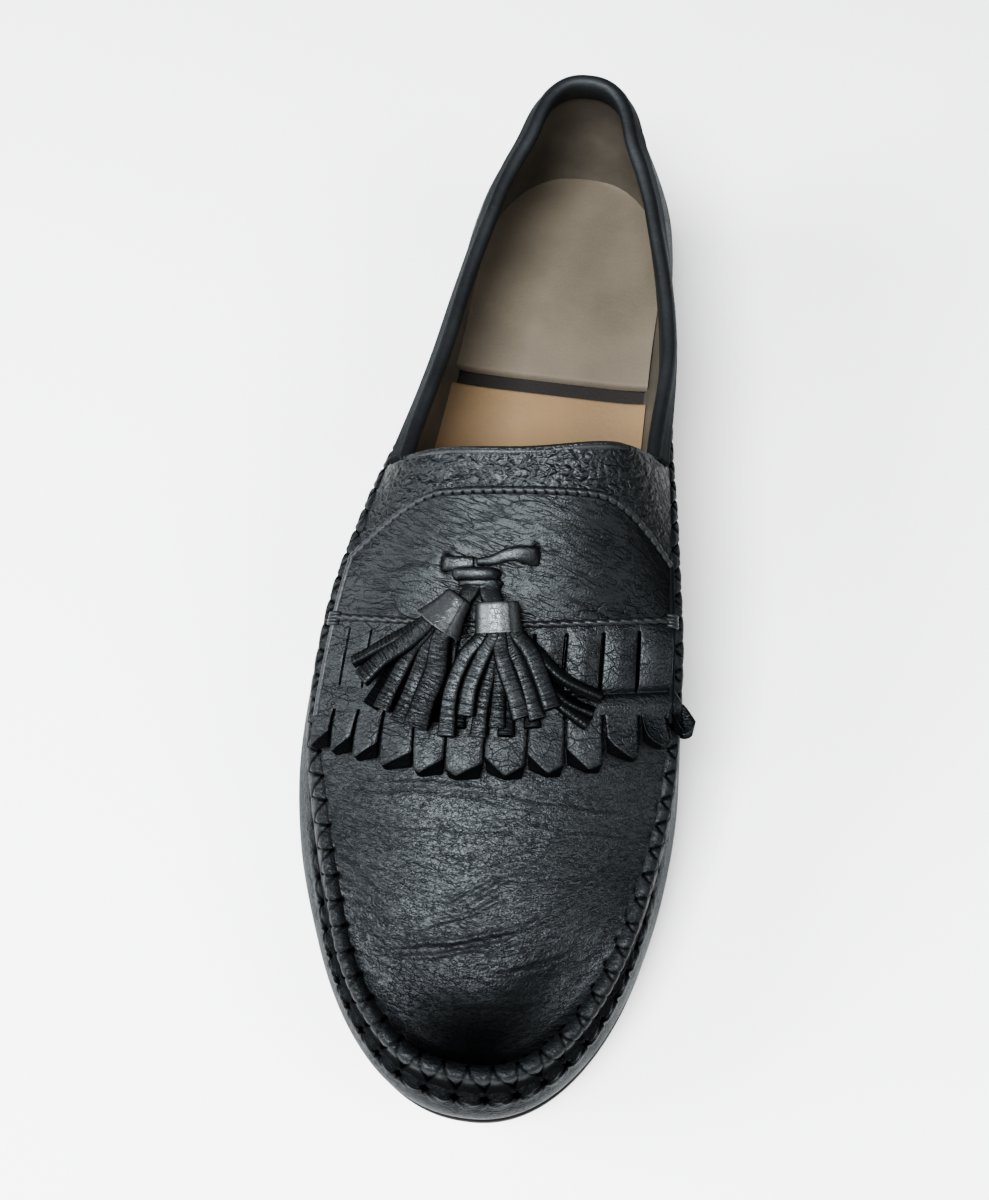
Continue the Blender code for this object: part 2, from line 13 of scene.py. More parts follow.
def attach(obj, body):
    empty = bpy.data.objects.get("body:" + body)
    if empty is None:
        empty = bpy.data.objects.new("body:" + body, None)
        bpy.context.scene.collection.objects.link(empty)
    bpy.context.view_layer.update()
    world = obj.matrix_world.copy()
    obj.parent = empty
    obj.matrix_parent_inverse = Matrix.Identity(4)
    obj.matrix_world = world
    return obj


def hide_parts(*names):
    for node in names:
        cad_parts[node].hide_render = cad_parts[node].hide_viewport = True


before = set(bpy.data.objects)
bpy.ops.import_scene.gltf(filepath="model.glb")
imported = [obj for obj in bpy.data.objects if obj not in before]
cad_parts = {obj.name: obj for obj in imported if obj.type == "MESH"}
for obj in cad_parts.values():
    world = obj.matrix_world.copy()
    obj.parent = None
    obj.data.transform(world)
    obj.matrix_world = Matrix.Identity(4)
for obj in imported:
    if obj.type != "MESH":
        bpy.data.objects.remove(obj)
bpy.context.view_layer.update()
print("CAD nodes:", sorted(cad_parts))

# %% [markdown]
# ## Sizes of the last
# A shoe is shaped over a last. Its form could be sculpted, but short tables of sections are easier to
# measure and to change. Each table has a row for each section, and a smooth cubic runs between rows.

# %% Sizes and tables
LENGTH = 300.0
HEEL_ROUND, HEEL_POWER = 34.0, 2.2
TOE_ROUND, TOE_POWER = 92.0, 2.2
THROAT_SKEW = 5.0
SOLE_THICK, SOLE_MARGIN = 5.0, 2.2
SEAT_HEIGHT, WAIST_START = 22.0, 60.0
BALL_START, BALL_END, TOE_SPRING = 178.0, 214.0, 9.0
HEEL_LENGTH, HEEL_INSET, LIFT_THICK = 72.0, 1.5, 6.0
INSOLE_THICK, INSOLE_INSET = 3.0, 4.8
WALL, BELLY_LEVEL, BAND = 2.2, 0.45, 10.5
CORNER = np.pi*21/45          # turn of the outer throat corner
THROAT_EVEN = LENGTH*(1 - np.cos(CORNER))/2
THROAT_SPINE, THROAT_BOW, SPINE_FRONT = 141.3, 7.0, 262.0
OVERLAY_EDGE, OVERLAY_GAP, OVERLAY_THICK = 2.8, 0.1, 1.5
FRINGE_LIFT = 2.4


def cubic(t, start, start_slope, end, end_slope):
    """Smooth cubic from start at t = 0 to end at t = 1, with the given slope at each."""
    return ((2*t**3 - 3*t**2 + 1)*start + (t**3 - 2*t**2 + t)*start_slope
            + (3*t**2 - 2*t**3)*end + (t**3 - t**2)*end_slope)


class Table:
    """Sizes by station in named columns; at() runs a smooth cubic through a column's rows."""

    def __init__(self, columns, rows):
        self.columns = columns
        self.rows = np.array(rows, float)

    def at(self, name, station):
        """A column's value at each station."""
        knots = self.rows[:, 0]
        values = self.rows[:, self.columns.index(name)]
        slopes = np.gradient(values, knots)
        station = np.clip(station, knots[0], knots[-1])
        i = np.clip(np.searchsorted(knots, station) - 1, 0, len(knots) - 2)
        span = knots[i + 1] - knots[i]
        t = (station - knots[i])/span
        return cubic(t, values[i], span*slopes[i], values[i + 1], span*slopes[i + 1])


OUTLINE = Table(("station", "axis", "half_width"), (
    (0, 0.5, 27.0), (35, 0.5, 31.5), (75, 0.0, 32.5), (115, -1.5, 35.5), (150, -3.0, 41.5),
    (185, -2.0, 49.5), (212, -0.3, 52.7), (235, 1.5, 52.0), (260, 4.0, 50.0), (300, 7.0, 47.0)))
SEAM = Table(("station", "height", "outer_inset", "inner_inset", "outer_belly", "inner_belly"), (
    (0, 72.0, 4.0, 4.0, -3.0, -3.0), (20, 69.0, 9.5, 9.0, -3.0, -3.0),
    (48, 64.0, 6.0, 4.0, -3.5, -4.0), (80, 61.0, 3.0, -1.5, -4.0, -5.5),
    (120, 63.0, 3.0, -4.0, -4.0, -6.5), (150, 66.0, 3.5, -4.5, -3.5, -6.0),
    (172, 62.0, 3.8, -2.5, -3.0, -5.5), (192, 54.5, 4.6, 0.0, -3.5, -4.5),
    (212, 47.0, 6.0, 2.4, -3.5, -3.5), (232, 43.0, 8.0, 4.0, -4.0, -3.5),
    (257, 40.0, 7.4, 4.8, -4.0, -3.5), (272, 38.6, 5.8, 5.1, -4.3, -3.8),
    (285, 37.8, 5.7, 5.6, -4.5, -4.1), (296, 37.2, 6.6, 7.0, -4.5, -4.4),
    (300, 37.0, 8.0, 8.0, -4.5, -4.5)))
TOPLINE = Table(("station", "height", "outer_inset", "inner_inset"), (
    (0, 80.0, 7.0, 7.0), (20, 77.0, 13.5, 12.5), (48, 72.5, 9.5, 6.5), (70, 69.5, 6.0, 0.5),
    (100, 69.0, 5.5, -3.5), (125, 72.5, 6.5, -4.0), (145, 77.0, 9.5, -2.0)))
SPINE = Table(("station", "height", "dome_power"), (
    (135, 92.0, 3.2), (150, 84.5, 3.0), (175, 71.5, 2.6), (200, 60.5, 2.3), (230, 50.5, 2.1),
    (260, 43.0, 2.0), (280, 38.8, 2.0), (292, 37.0, 2.0)))
print("Outsole", LENGTH, "mm long,", 2*OUTLINE.rows[:, 2].max(), "mm wide at the ball")

# %% [markdown]
# ## Surfaces of the last
# Every panel is a function of two numbers, worked out for whole arrays at once: how far round the shoe
# ("turn", 0 at the heel back, pi at the toe tip, outer side first) and how far up the wall or across
# the vamp. Pieces that share a function stay in touch, whatever their mesh density.


# %% Shape functions
def smoothstep(value):
    """0 below 0, 1 above 1, and a soft S between."""
    value = np.clip(value, 0, 1)
    return value*value*(3 - 2*value)


def end_rounding(station):
    """Share of the half width left at heel and toe: quarter superellipses."""
    back = np.clip(1 - station/HEEL_ROUND, 0, 1)
    front = np.clip((station - LENGTH + TOE_ROUND)/TOE_ROUND, 0, 1)
    return (1 - back**HEEL_POWER)**(1/HEEL_POWER)*(1 - front**TOE_POWER)**(1/TOE_POWER)


def sole_bottom(station):
    """Heel seat, a smooth S down through the waist, flat tread, then a parabola of toe spring."""
    down = smoothstep((station - WAIST_START)/(BALL_START - WAIST_START))
    up = np.clip((station - BALL_END)/(LENGTH - BALL_END), 0, 1)
    return SEAT_HEIGHT*(1 - down) + TOE_SPRING*up**2


def split_turn(turn):
    """Angle from the heel back and the side, -1 outer or 1 inner."""
    turn = np.asarray(turn, float) % (2*np.pi)
    outer = turn <= np.pi
    return np.where(outer, turn, 2*np.pi - turn), np.where(outer, -1.0, 1.0)


def outline(turn):
    """Plan point (x, station) on the outsole's edge."""
    angle, side = split_turn(turn)
    station = LENGTH*(1 - np.cos(angle))/2 - side*THROAT_SKEW*np.sin(angle)**4
    half = OUTLINE.at("half_width", station)*end_rounding(station)
    return OUTLINE.at("axis", station) + side*half, station


def inset_points(turn, inset, height, step=0.004):
    """Edge point moved inward along the outline's normal, at a height."""
    x, station = outline(turn)
    x_back, s_back = outline(turn - step)
    x_on, s_on = outline(turn + step)
    length = np.hypot(x_on - x_back, s_on - s_back)
    nx, ns = (s_back - s_on)/length, (x_on - x_back)/length
    return np.stack(np.broadcast_arrays(x - inset*nx, station - inset*ns, height), -1)


def sided(table, word, turn):
    """A table's outer or inner column, whichever side the turn is on."""
    _, station = outline(turn)
    _, side = split_turn(turn)
    return np.where(side < 0, table.at("outer_" + word, station), table.at("inner_" + word, station))


def wall(turn, rise):
    """Side wall from the sole (0) to the seam (1): a quadratic curve pulled out at the belly."""
    _, station = outline(turn)
    foot = sole_bottom(station) + SOLE_THICK - 0.3
    top = SEAM.at("height", station)
    a, b, c = (1 - rise)**2, 2*rise*(1 - rise), rise**2
    inset = a*SOLE_MARGIN + b*sided(SEAM, "belly", turn) + c*sided(SEAM, "inset", turn)
    height = a*foot + b*(foot + BELLY_LEVEL*(top - foot)) + c*top
    return inset_points(turn, inset, height)


def seam_point(turn):
    """Seam, the top of the side wall."""
    return wall(turn, 1.0)


HALF_STEPS = 720              # steps along the measured seam on each side
SEAM_TURNS = np.linspace(0, 2*np.pi, 2*HALF_STEPS + 1)
SEAM_LINE = seam_point(SEAM_TURNS)


def two_halves(line):
    """A line round the shoe as its outer and its inner half, each from heel to toe."""
    return line[:HALF_STEPS + 1], line[:HALF_STEPS - 1:-1]


def seam_sides(station):
    """x of the seam on the outer and the inner side."""
    outer, inner = two_halves(SEAM_LINE)
    return np.interp(station, outer[:, 1], outer[:, 0]), np.interp(station, inner[:, 1], inner[:, 0])


def crown_height(x, station):
    """Vamp height: the seam's height plus a dome that is highest on the middle line."""
    left, right = seam_sides(station)
    across = np.clip(np.abs(2*x - left - right)/np.maximum(right - left, 1e-6), 0, 1)
    low = SEAM.at("height", station)
    return low + (SPINE.at("height", station) - low)*(1 - across**SPINE.at("dome_power", station))


def crown_normal(x, station):
    """Unit normal of the vamp from the slopes of its height."""
    step = 0.4
    slope_x = (crown_height(x + step, station) - crown_height(x - step, station))/(2*step)
    slope_s = (crown_height(x, station + step) - crown_height(x, station - step))/(2*step)
    normal = np.stack(np.broadcast_arrays(-slope_x, -slope_s, 1.0), -1)
    return normal/np.linalg.norm(normal, axis=-1, keepdims=True)


def crown_point(x, station, lift=0.0):
    """Point on the vamp, raised by lift along its normal."""
    base = np.stack(np.broadcast_arrays(x, station, crown_height(x, station)), -1)
    return base + np.asarray(lift)[..., None]*crown_normal(x, station)


def across_x(share, station):
    """x on the overlays, share -1 at their outer end to 1 at their inner end."""
    left, right = seam_sides(station)
    return (left + right)/2 + share*((right - left)/2 - OVERLAY_EDGE)


def arc_line(share):
    """Saddle's upper edge: level in the middle, bent forward at both ends."""
    return 151.4 - 4*share + 13*np.clip((np.abs(share) - 0.5)/0.5, 0, 1)**1.8


def kiltie_line(share):
    """Edge where the saddle ends and the kiltie begins."""
    return 182.3 - 5*share - 4.5*share**2


def fringe_line(share):
    """Free edge of the kiltie."""
    return 218.0 - 5*share - 8*share**2


def fringe_lift(share, station):
    """Kiltie's underside over the vamp: its free edge stands off."""
    along = (station - kiltie_line(share))/(fringe_line(share) - kiltie_line(share))
    return OVERLAY_GAP + FRINGE_LIFT*smoothstep(along)**1.5


def roof(x, station):
    """Top of the saddle or kiltie over the vamp."""
    left, right = seam_sides(station)
    share = np.clip((2*x - left - right)/(right - left - 2*OVERLAY_EDGE), -1, 1)
    return fringe_lift(share, station) + OVERLAY_THICK


print("Throat top", round(float(crown_height(0.0, np.float64(THROAT_SPINE))), 1), "mm over the floor")

# %% [markdown]
# ## Lines across the vamp and up to the topline
# The vamp is drawn as cross lines: each starts on the seam, climbs to the middle line and comes down
# to the seam on the other side. Behind the throat the same columns run up to the topline instead.
# Lengths along the seam are measured too, because the lacing is spaced by length and not by angle.


# %% Cross lines and the topline
def throat_share(turn):
    """0 at the throat corners and behind them, 1 at the toe tip."""
    angle, _ = split_turn(turn)
    even = LENGTH*(1 - np.cos(angle))/2
    return np.clip((even - THROAT_EVEN)/(LENGTH - THROAT_EVEN), 0, 1)


def crown_lines(turn, part):
    """Point on each cross line, part 0 on the seam to 1 on the middle line: a straight line in plan
    with a small bow near the throat, lifted to the vamp's height."""
    turn, part = np.broadcast_arrays(np.asarray(turn, float), np.asarray(part, float))
    seam = seam_point(turn)
    share = throat_share(turn)
    middle = THROAT_SPINE + share*(SPINE_FRONT - THROAT_SPINE)
    left, right = seam_sides(middle)
    x = seam[..., 0] + part*((left + right)/2 - seam[..., 0])
    station = seam[..., 1] + part*(middle - seam[..., 1]) + THROAT_BOW*part*(1 - part)*(1 - share)
    return np.stack([x, station, crown_height(x, station)], -1)


def part_at(turn, distance):
    """Share of each cross line at a distance from the seam, by adding up short chords."""
    steps = 80
    lines = crown_lines(np.asarray(turn, float)[..., None], np.linspace(0, 1, steps + 1))
    run = np.cumsum(np.linalg.norm(np.diff(lines, axis=-2), axis=-1), axis=-1)
    i = np.minimum(np.sum(run < distance, axis=-1), steps - 1)
    ends = np.take_along_axis(run, i[..., None], -1)[..., 0]
    before = np.take_along_axis(run, np.maximum(i - 1, 0)[..., None], -1)[..., 0]
    starts = np.where(i > 0, before, 0)
    return (i + (distance - starts)/(ends - starts))/steps


def topline_plan(turn):
    """Rim as its own table has it."""
    inset = sided(TOPLINE, "inset", turn)
    return inset_points(turn, inset, TOPLINE.at("height", outline(turn)[1]))


def topline(turn):
    """Rim of the quarter, blended over 40 mm into the throat corners."""
    turn = np.asarray(turn, float)
    rim = topline_plan(turn)
    _, station = outline(turn)
    _, side = split_turn(turn)
    for corner in (CORNER, 2*np.pi - CORNER):
        meet = crown_lines(corner, part_at(np.float64(corner), BAND))
        same = side == split_turn(corner)[1]
        fade = smoothstep(1 - (outline(corner)[1] - station)/40)*same
        rim = rim + fade[..., None]*(meet - topline_plan(corner))
    return rim


def run_length(path):
    """Running length along a path of points."""
    return np.concatenate([[0.0], np.cumsum(np.linalg.norm(np.diff(path, axis=0), axis=1))])


SEAM_ARC = run_length(SEAM_LINE)
PERIMETER = SEAM_ARC[-1]
print("Seam", round(PERIMETER), "mm round, throat corners at turn", round(CORNER, 3))

# %% [markdown]
# ## From grids to meshes
# A grid of points becomes a mesh with one quad for each cell. Arrays of grids join many small things
# into one object. UVs hold the lengths along both directions in centimetres, so that a shader can
# stretch a grain along a strip. Faces are turned outward by a test that suits each kind of piece.

# %% Mesh helpers
INSIDE_HEIGHT = 32.0                      # of a point in the middle of the shoe
OUT_WEIGHTS = np.array([1.0, 0.3, 1.0])   # lengthways counts less, because a shoe is long


def lengths(grid, axis):
    """Running length along an axis of a grid, averaged over the other axis, in centimetres."""
    step = np.linalg.norm(np.diff(grid, axis=axis), axis=-1)
    other = 2*grid.ndim - 5 - axis      # a grid's two axes are ndim - 3 and ndim - 2
    step = step.mean(axis=other, keepdims=True)
    start = np.zeros_like(np.take(step, [0], axis=axis))
    run = np.concatenate([start, np.cumsum(step, axis=axis)], axis)
    return np.broadcast_to(run/10, grid.shape[:-1])


def outward(points, corners, facing):
    """1 where the faces already look the wanted way, else -1: the sign of the summed normals along
    the wanted direction, or of the volume that a closed piece holds."""
    a, b, c, d = (points[corners[:, i]] for i in range(4))
    if facing == "closed":
        return np.sign(np.sum(a*(np.cross(b, c) + np.cross(c, d))))
    normal = np.cross(c - a, d - b)
    away = ((a + c)/2 - np.array([0.0, 0.0, INSIDE_HEIGHT]))*OUT_WEIGHTS
    up = np.array([0.0, 0.0, 1.0])
    wanted = {"up": up, "down": -up, "out": away, "in": -away}[facing]
    return np.sign(np.sum(normal*wanted))


def show(name, data):
    """New object with this data, linked to the scene."""
    obj = bpy.data.objects.new(name, data)
    bpy.context.scene.collection.objects.link(obj)
    return obj


def piece(name, grid, node, material, facing="closed", wrap=False, poles=False, weld=None,
          shade=None):
    """Object from a grid [row, column, xyz] or an array of such grids, in millimetres.
    wrap joins the last column to the first, poles draws each end row into one point, weld is a function
    that joins other points, and shade is painted shade, a value from 0 to 1 at each point, which its
    material turns to a black metal."""
    grid = np.asarray(grid, float)
    shade = np.zeros(grid.shape[:-1]) if shade is None else np.broadcast_to(shade, grid.shape[:-1])
    if wrap:
        grid = np.concatenate([grid, grid[..., :1, :]], -2)
        shade = np.concatenate([shade, shade[..., :1]], -1)
    uv = np.stack([lengths(grid, grid.ndim - 2), lengths(grid, grid.ndim - 3)], -1).reshape(-1, 2)
    flat = grid.reshape(-1, 3)
    world = np.stack([flat[:, 0], LENGTH/2 - flat[:, 1], flat[:, 2]], 1)
    index = np.arange(len(flat)).reshape(grid.shape[:-1])
    corner = np.stack([index[..., :-1, :-1], index[..., :-1, 1:],
                       index[..., 1:, 1:], index[..., 1:, :-1]], -1).reshape(-1, 4)
    same = index.copy()
    if wrap:
        same[..., -1] = same[..., 0]
    if poles:
        same[..., 0, :] = same[..., 0, :1]
        same[..., -1, :] = same[..., -1, :1]
    if weld is not None:
        same = weld(same)
    used, vertex = np.unique(same.reshape(-1)[corner], return_inverse=True)
    vertex = vertex.reshape(-1, 4)
    world = world[used]
    if outward(world, vertex, facing) < 0:
        vertex, corner = vertex[:, ::-1], corner[:, ::-1]
    twice = vertex == np.roll(vertex, -1, axis=1)
    whole, three = twice.sum(1) == 0, twice.sum(1) == 1
    faces = vertex[whole].tolist() + vertex[three][~twice[three]].reshape(-1, 3).tolist()
    loops = np.concatenate([corner[whole].ravel(), corner[three][~twice[three]]])
    mesh = bpy.data.meshes.new(name)
    mesh.from_pydata(world/1000, [], faces)
    mesh.uv_layers.new(name="UVMap").data.foreach_set("uv", uv[loops].astype(np.float32).ravel())
    values = shade.reshape(-1)[used].astype(np.float32)
    mesh.attributes.new("shade", "FLOAT", "POINT").data.foreach_set("value", values)
    mesh.polygons.foreach_set("use_smooth", np.ones(len(faces), bool))
    mesh.materials.append(material)
    obj = show(name, mesh)
    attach(obj, "root")
    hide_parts(node)
    print(f"{name}: {len(faces)} faces for {node}")


def unit(vectors):
    """Vectors of length 1."""
    return vectors/np.maximum(np.linalg.norm(vectors, axis=-1, keepdims=True), 1e-9)


def grid_normals(grid, wrap=False):
    """Unit normals of a grid from the cross product of its two gradients."""
    if wrap:
        across = np.roll(grid, -1, axis=-2) - np.roll(grid, 1, axis=-2)
    else:
        across = np.gradient(grid, axis=-2)
    return unit(np.cross(np.gradient(grid, axis=-3), across))


def strand(path, side, half_width, half_thick, power, ring):
    """Closed rings along paths: a superellipse, wide along side and thick across it. The first and
    last rings are repeated smaller and then drawn to a point, which closes the cut ends."""
    ahead = unit(np.gradient(path, axis=-2))
    side = unit(side - ahead*np.sum(side*ahead, axis=-1, keepdims=True))
    up = np.cross(ahead, side)
    angle = np.arange(ring)*2*np.pi/ring
    wide = np.sign(np.cos(angle))*np.abs(np.cos(angle))**power
    tall = np.sign(np.sin(angle))*np.abs(np.sin(angle))**power
    half_width = np.broadcast_to(half_width, path.shape[:-1])[..., None, None]
    half_thick = np.broadcast_to(half_thick, path.shape[:-1])[..., None, None]
    rings = (path[..., None, :] + side[..., None, :]*half_width*wide[:, None]
             + up[..., None, :]*half_thick*tall[:, None])
    first, last = path[..., :1, None, :], path[..., -1:, None, :]
    start = [first + (rings[..., :1, :, :] - first)*k for k in (0.0, 0.85)]
    end = [last + (rings[..., -1:, :, :] - last)*k for k in (0.85, 0.0)]
    return np.concatenate(start + [rings] + end, axis=-3)


def sweep(path, out, up, section):
    """Rings along a path: each section point is (outward, upward) from the path."""
    section = np.asarray(section, float)
    return path[:, None] + out[:, None]*section[None, :, :1] + up[:, None]*section[None, :, 1:]


# %% [markdown]
# ## Shared leather effects
# Four effects are used by several finishes, so each is one node group. Pebbles are the cells of a
# Voronoi texture, domed between their edges. A net is the borders of larger, wavy cells, broken up by a
# slow noise, like cracks in worn polish. Dashes are the places where a stretched noise passes its middle
# value, which gives short drawn lines. Patina is a slow noise that varies tone and gloss. All give values
# from 0 to 1.


# %% Node helpers and groups
def add(tree, kind, inputs=None, **settings):
    """A node with its settings; each input is a value or another node's socket."""
    node = tree.nodes.new(kind)
    for key, value in settings.items():
        setattr(node, key, value)
    for key, value in (inputs or {}).items():
        if isinstance(value, bpy.types.NodeSocket):
            tree.links.new(value, node.inputs[key])
        else:
            node.inputs[key].default_value = value
    return node


def calc(tree, operation, a, b=0.0):
    """Result of a Math node; a and b are sockets or numbers."""
    return add(tree, "ShaderNodeMath", {0: a, 1: b}, operation=operation).outputs[0]


def times(tree, a, b):
    """Product of two sockets or numbers."""
    return calc(tree, "MULTIPLY", a, b)


def weighted(tree, pairs):
    """Sum of sockets, each times its number."""
    total = None
    for socket, weight in pairs:
        term = times(tree, socket, weight)
        total = term if total is None else calc(tree, "ADD", total, term)
    return total


def remap(tree, value, low, high, to_low=0.0, to_high=1.0):
    """Value moved smoothly from one range to another."""
    inputs = {"Value": value, "From Min": low, "From Max": high, "To Min": to_low, "To Max": to_high}
    return add(tree, "ShaderNodeMapRange", inputs, interpolation_type="SMOOTHSTEP").outputs["Result"]


def noise(tree, vector, scale, detail):
    """Outputs of a noise texture."""
    return add(tree, "ShaderNodeTexNoise", {"Vector": vector, "Scale": scale, "Detail": detail}).outputs


def new_material(name):
    """Material with nodes: itself, its tree and its shader."""
    material = bpy.data.materials.new(name)
    material.use_nodes = True
    return material, material.node_tree, material.node_tree.nodes["Principled BSDF"]


def new_group(name, numbers, outputs):
    """Empty node group: a Vector and named numbers go in, named numbers come out."""
    tree = bpy.data.node_groups.new(name, "ShaderNodeTree")
    tree.interface.new_socket("Vector", in_out="INPUT", socket_type="NodeSocketVector")
    for way, sockets in (("INPUT", numbers), ("OUTPUT", outputs)):
        for socket in sockets:
            tree.interface.new_socket(socket, in_out=way, socket_type="NodeSocketFloat")
    return tree, tree.nodes.new("NodeGroupInput").outputs, tree.nodes.new("NodeGroupOutput").inputs


def use_group(tree, group, inputs):
    """Outputs of a group placed in a material."""
    return add(tree, "ShaderNodeGroup", inputs, node_tree=group).outputs


def wavy_place(tree, vector, scale, share):
    """Texture place pushed about by a noise of the same size, so that cell borders run unevenly."""
    wave = noise(tree, vector, scale, 2.0)["Color"]
    reach = calc(tree, "DIVIDE", share, scale)
    push = add(tree, "ShaderNodeVectorMath", {0: wave, 3: reach}, operation="SCALE").outputs[0]
    return add(tree, "ShaderNodeVectorMath", {0: vector, 1: push}, operation="ADD").outputs[0]


def border(tree, place, scale):
    """Distance to the nearest Voronoi border, in cells."""
    inputs = {"Vector": place, "Scale": scale}
    return add(tree, "ShaderNodeTexVoronoi", inputs, feature="DISTANCE_TO_EDGE").outputs["Distance"]


def make_pebbles():
    """Domed cells in two sizes, with a fine noise on top; the valley is the border of the larger ones."""
    tree, given, result = new_group("Pebbles", ("Scale",), ("Height", "Valley"))
    scale = given["Scale"]
    place = wavy_place(tree, given["Vector"], scale, 0.6)
    large = border(tree, place, scale)
    small = border(tree, place, times(tree, scale, 2.3))
    pores = noise(tree, place, times(tree, scale, 4.0), 3.0)["Fac"]
    height = weighted(tree, ((remap(tree, large, 0.0, 0.35), 0.55), (remap(tree, small, 0.0, 0.35), 0.3),
                             (pores, 0.15)))
    tree.links.new(height, result["Height"])
    tree.links.new(remap(tree, large, 0.0, 0.12, 1.0, 0.0), result["Valley"])
    return tree


def make_net():
    """Borders of wavy cells in two sizes, each shown only where a slow noise is high."""
    tree, given, result = new_group("Net", ("Scale", "Width"), ("Line",))
    place = wavy_place(tree, given["Vector"], given["Scale"], 0.9)
    lines = []
    for factor, low, high, depth in ((1.0, 0.42, 0.6, 1.0), (2.4, 0.48, 0.66, 0.6)):
        scale = times(tree, given["Scale"], factor)
        edge = calc(tree, "DIVIDE", border(tree, place, scale), given["Width"])
        slow = noise(tree, given["Vector"], times(tree, scale, 0.4), 2.0)["Fac"]
        lines.append(times(tree, remap(tree, edge, 0.0, 1.0, depth, 0.0), remap(tree, slow, low, high)))
    tree.links.new(calc(tree, "MAXIMUM", *lines), result["Line"])
    return tree


def make_dashes():
    """Thin lines where a noise passes 0.5, in two sizes, broken by a slow noise. Swell is the larger
    noise itself."""
    tree, given, result = new_group("Dashes", ("Scale",), ("Line", "Swell"))
    lines, waves = [], []
    for factor, width, depth in ((1.0, 0.04, 1.0), (2.3, 0.06, 0.7)):
        scale = times(tree, given["Scale"], factor)
        waves.append(noise(tree, given["Vector"], scale, 1.5)["Fac"])
        near = calc(tree, "ABSOLUTE", calc(tree, "SUBTRACT", waves[-1], 0.5))
        slow = noise(tree, given["Vector"], times(tree, scale, 0.6), 1.0)["Fac"]
        lines.append(times(tree, remap(tree, near, 0.0, width, depth, 0.0), remap(tree, slow, 0.44, 0.58)))
    tree.links.new(calc(tree, "MAXIMUM", *lines), result["Line"])
    tree.links.new(waves[0], result["Swell"])
    return tree


def make_patina():
    """Slow variation over a few centimetres."""
    tree, given, result = new_group("Patina", (), ("Tone",))
    slow = noise(tree, given["Vector"], 55.0, 4.0)["Fac"]
    tree.links.new(remap(tree, slow, 0.3, 0.7), result["Tone"])
    return tree


PEBBLES, NET, DASHES, PATINA = make_pebbles(), make_net(), make_dashes(), make_patina()
print("Node groups:", [tree.name for tree in (PEBBLES, NET, DASHES, PATINA)])

# %% [markdown]
# ## Leather finishes
# One function makes every leather, because they differ only in grain, lines and gloss. All reliefs are
# heights in millimetres for one Bump node; lines and hollows are painted darker, as painted shade, and
# rougher than the tops, the more so the deeper they are. Lines on the vamp run parallel to the toe, so its
# texture place is bent by a parabola that grows toward the toe. The mesh attribute "shade" is painted
# shade: it turns holes, slits, cut edges, deep folds, undersides, the toe and faces that would mirror the
# floor at a low angle into a black metal, which reflects nothing, because a black leather would still
# shine.


# %% Leather material
def toe_bend(tree, source, bend):
    """Texture place whose Y is lowered by bend times x squared, growing from the ball to the toe."""
    part = add(tree, "ShaderNodeSeparateXYZ", {0: source}).outputs
    grown = remap(tree, part["Y"], -0.072, -0.105)
    square = times(tree, part["X"], part["X"])
    drop = times(tree, square, times(tree, grown, bend))
    inputs = {"X": part["X"], "Y": calc(tree, "SUBTRACT", part["Y"], drop), "Z": part["Z"]}
    return add(tree, "ShaderNodeCombineXYZ", inputs).outputs[0]


def mixed(tree, factor, a, b):
    """Colour between a and b; each is a socket or three numbers."""
    a, b = (end if isinstance(end, bpy.types.NodeSocket) else (*end, 1.0) for end in (a, b))
    inputs = {"Factor": factor, "A": a, "B": b}
    return add(tree, "ShaderNodeMix", inputs, data_type="RGBA").outputs["Result"]


EVEN = (1.0, 1.0, 1.0)
# Black that the shade attribute paints as shade.
SHADE_BLACK = (0.0008, 0.0008, 0.001)        # of holes, cut edges and deep folds


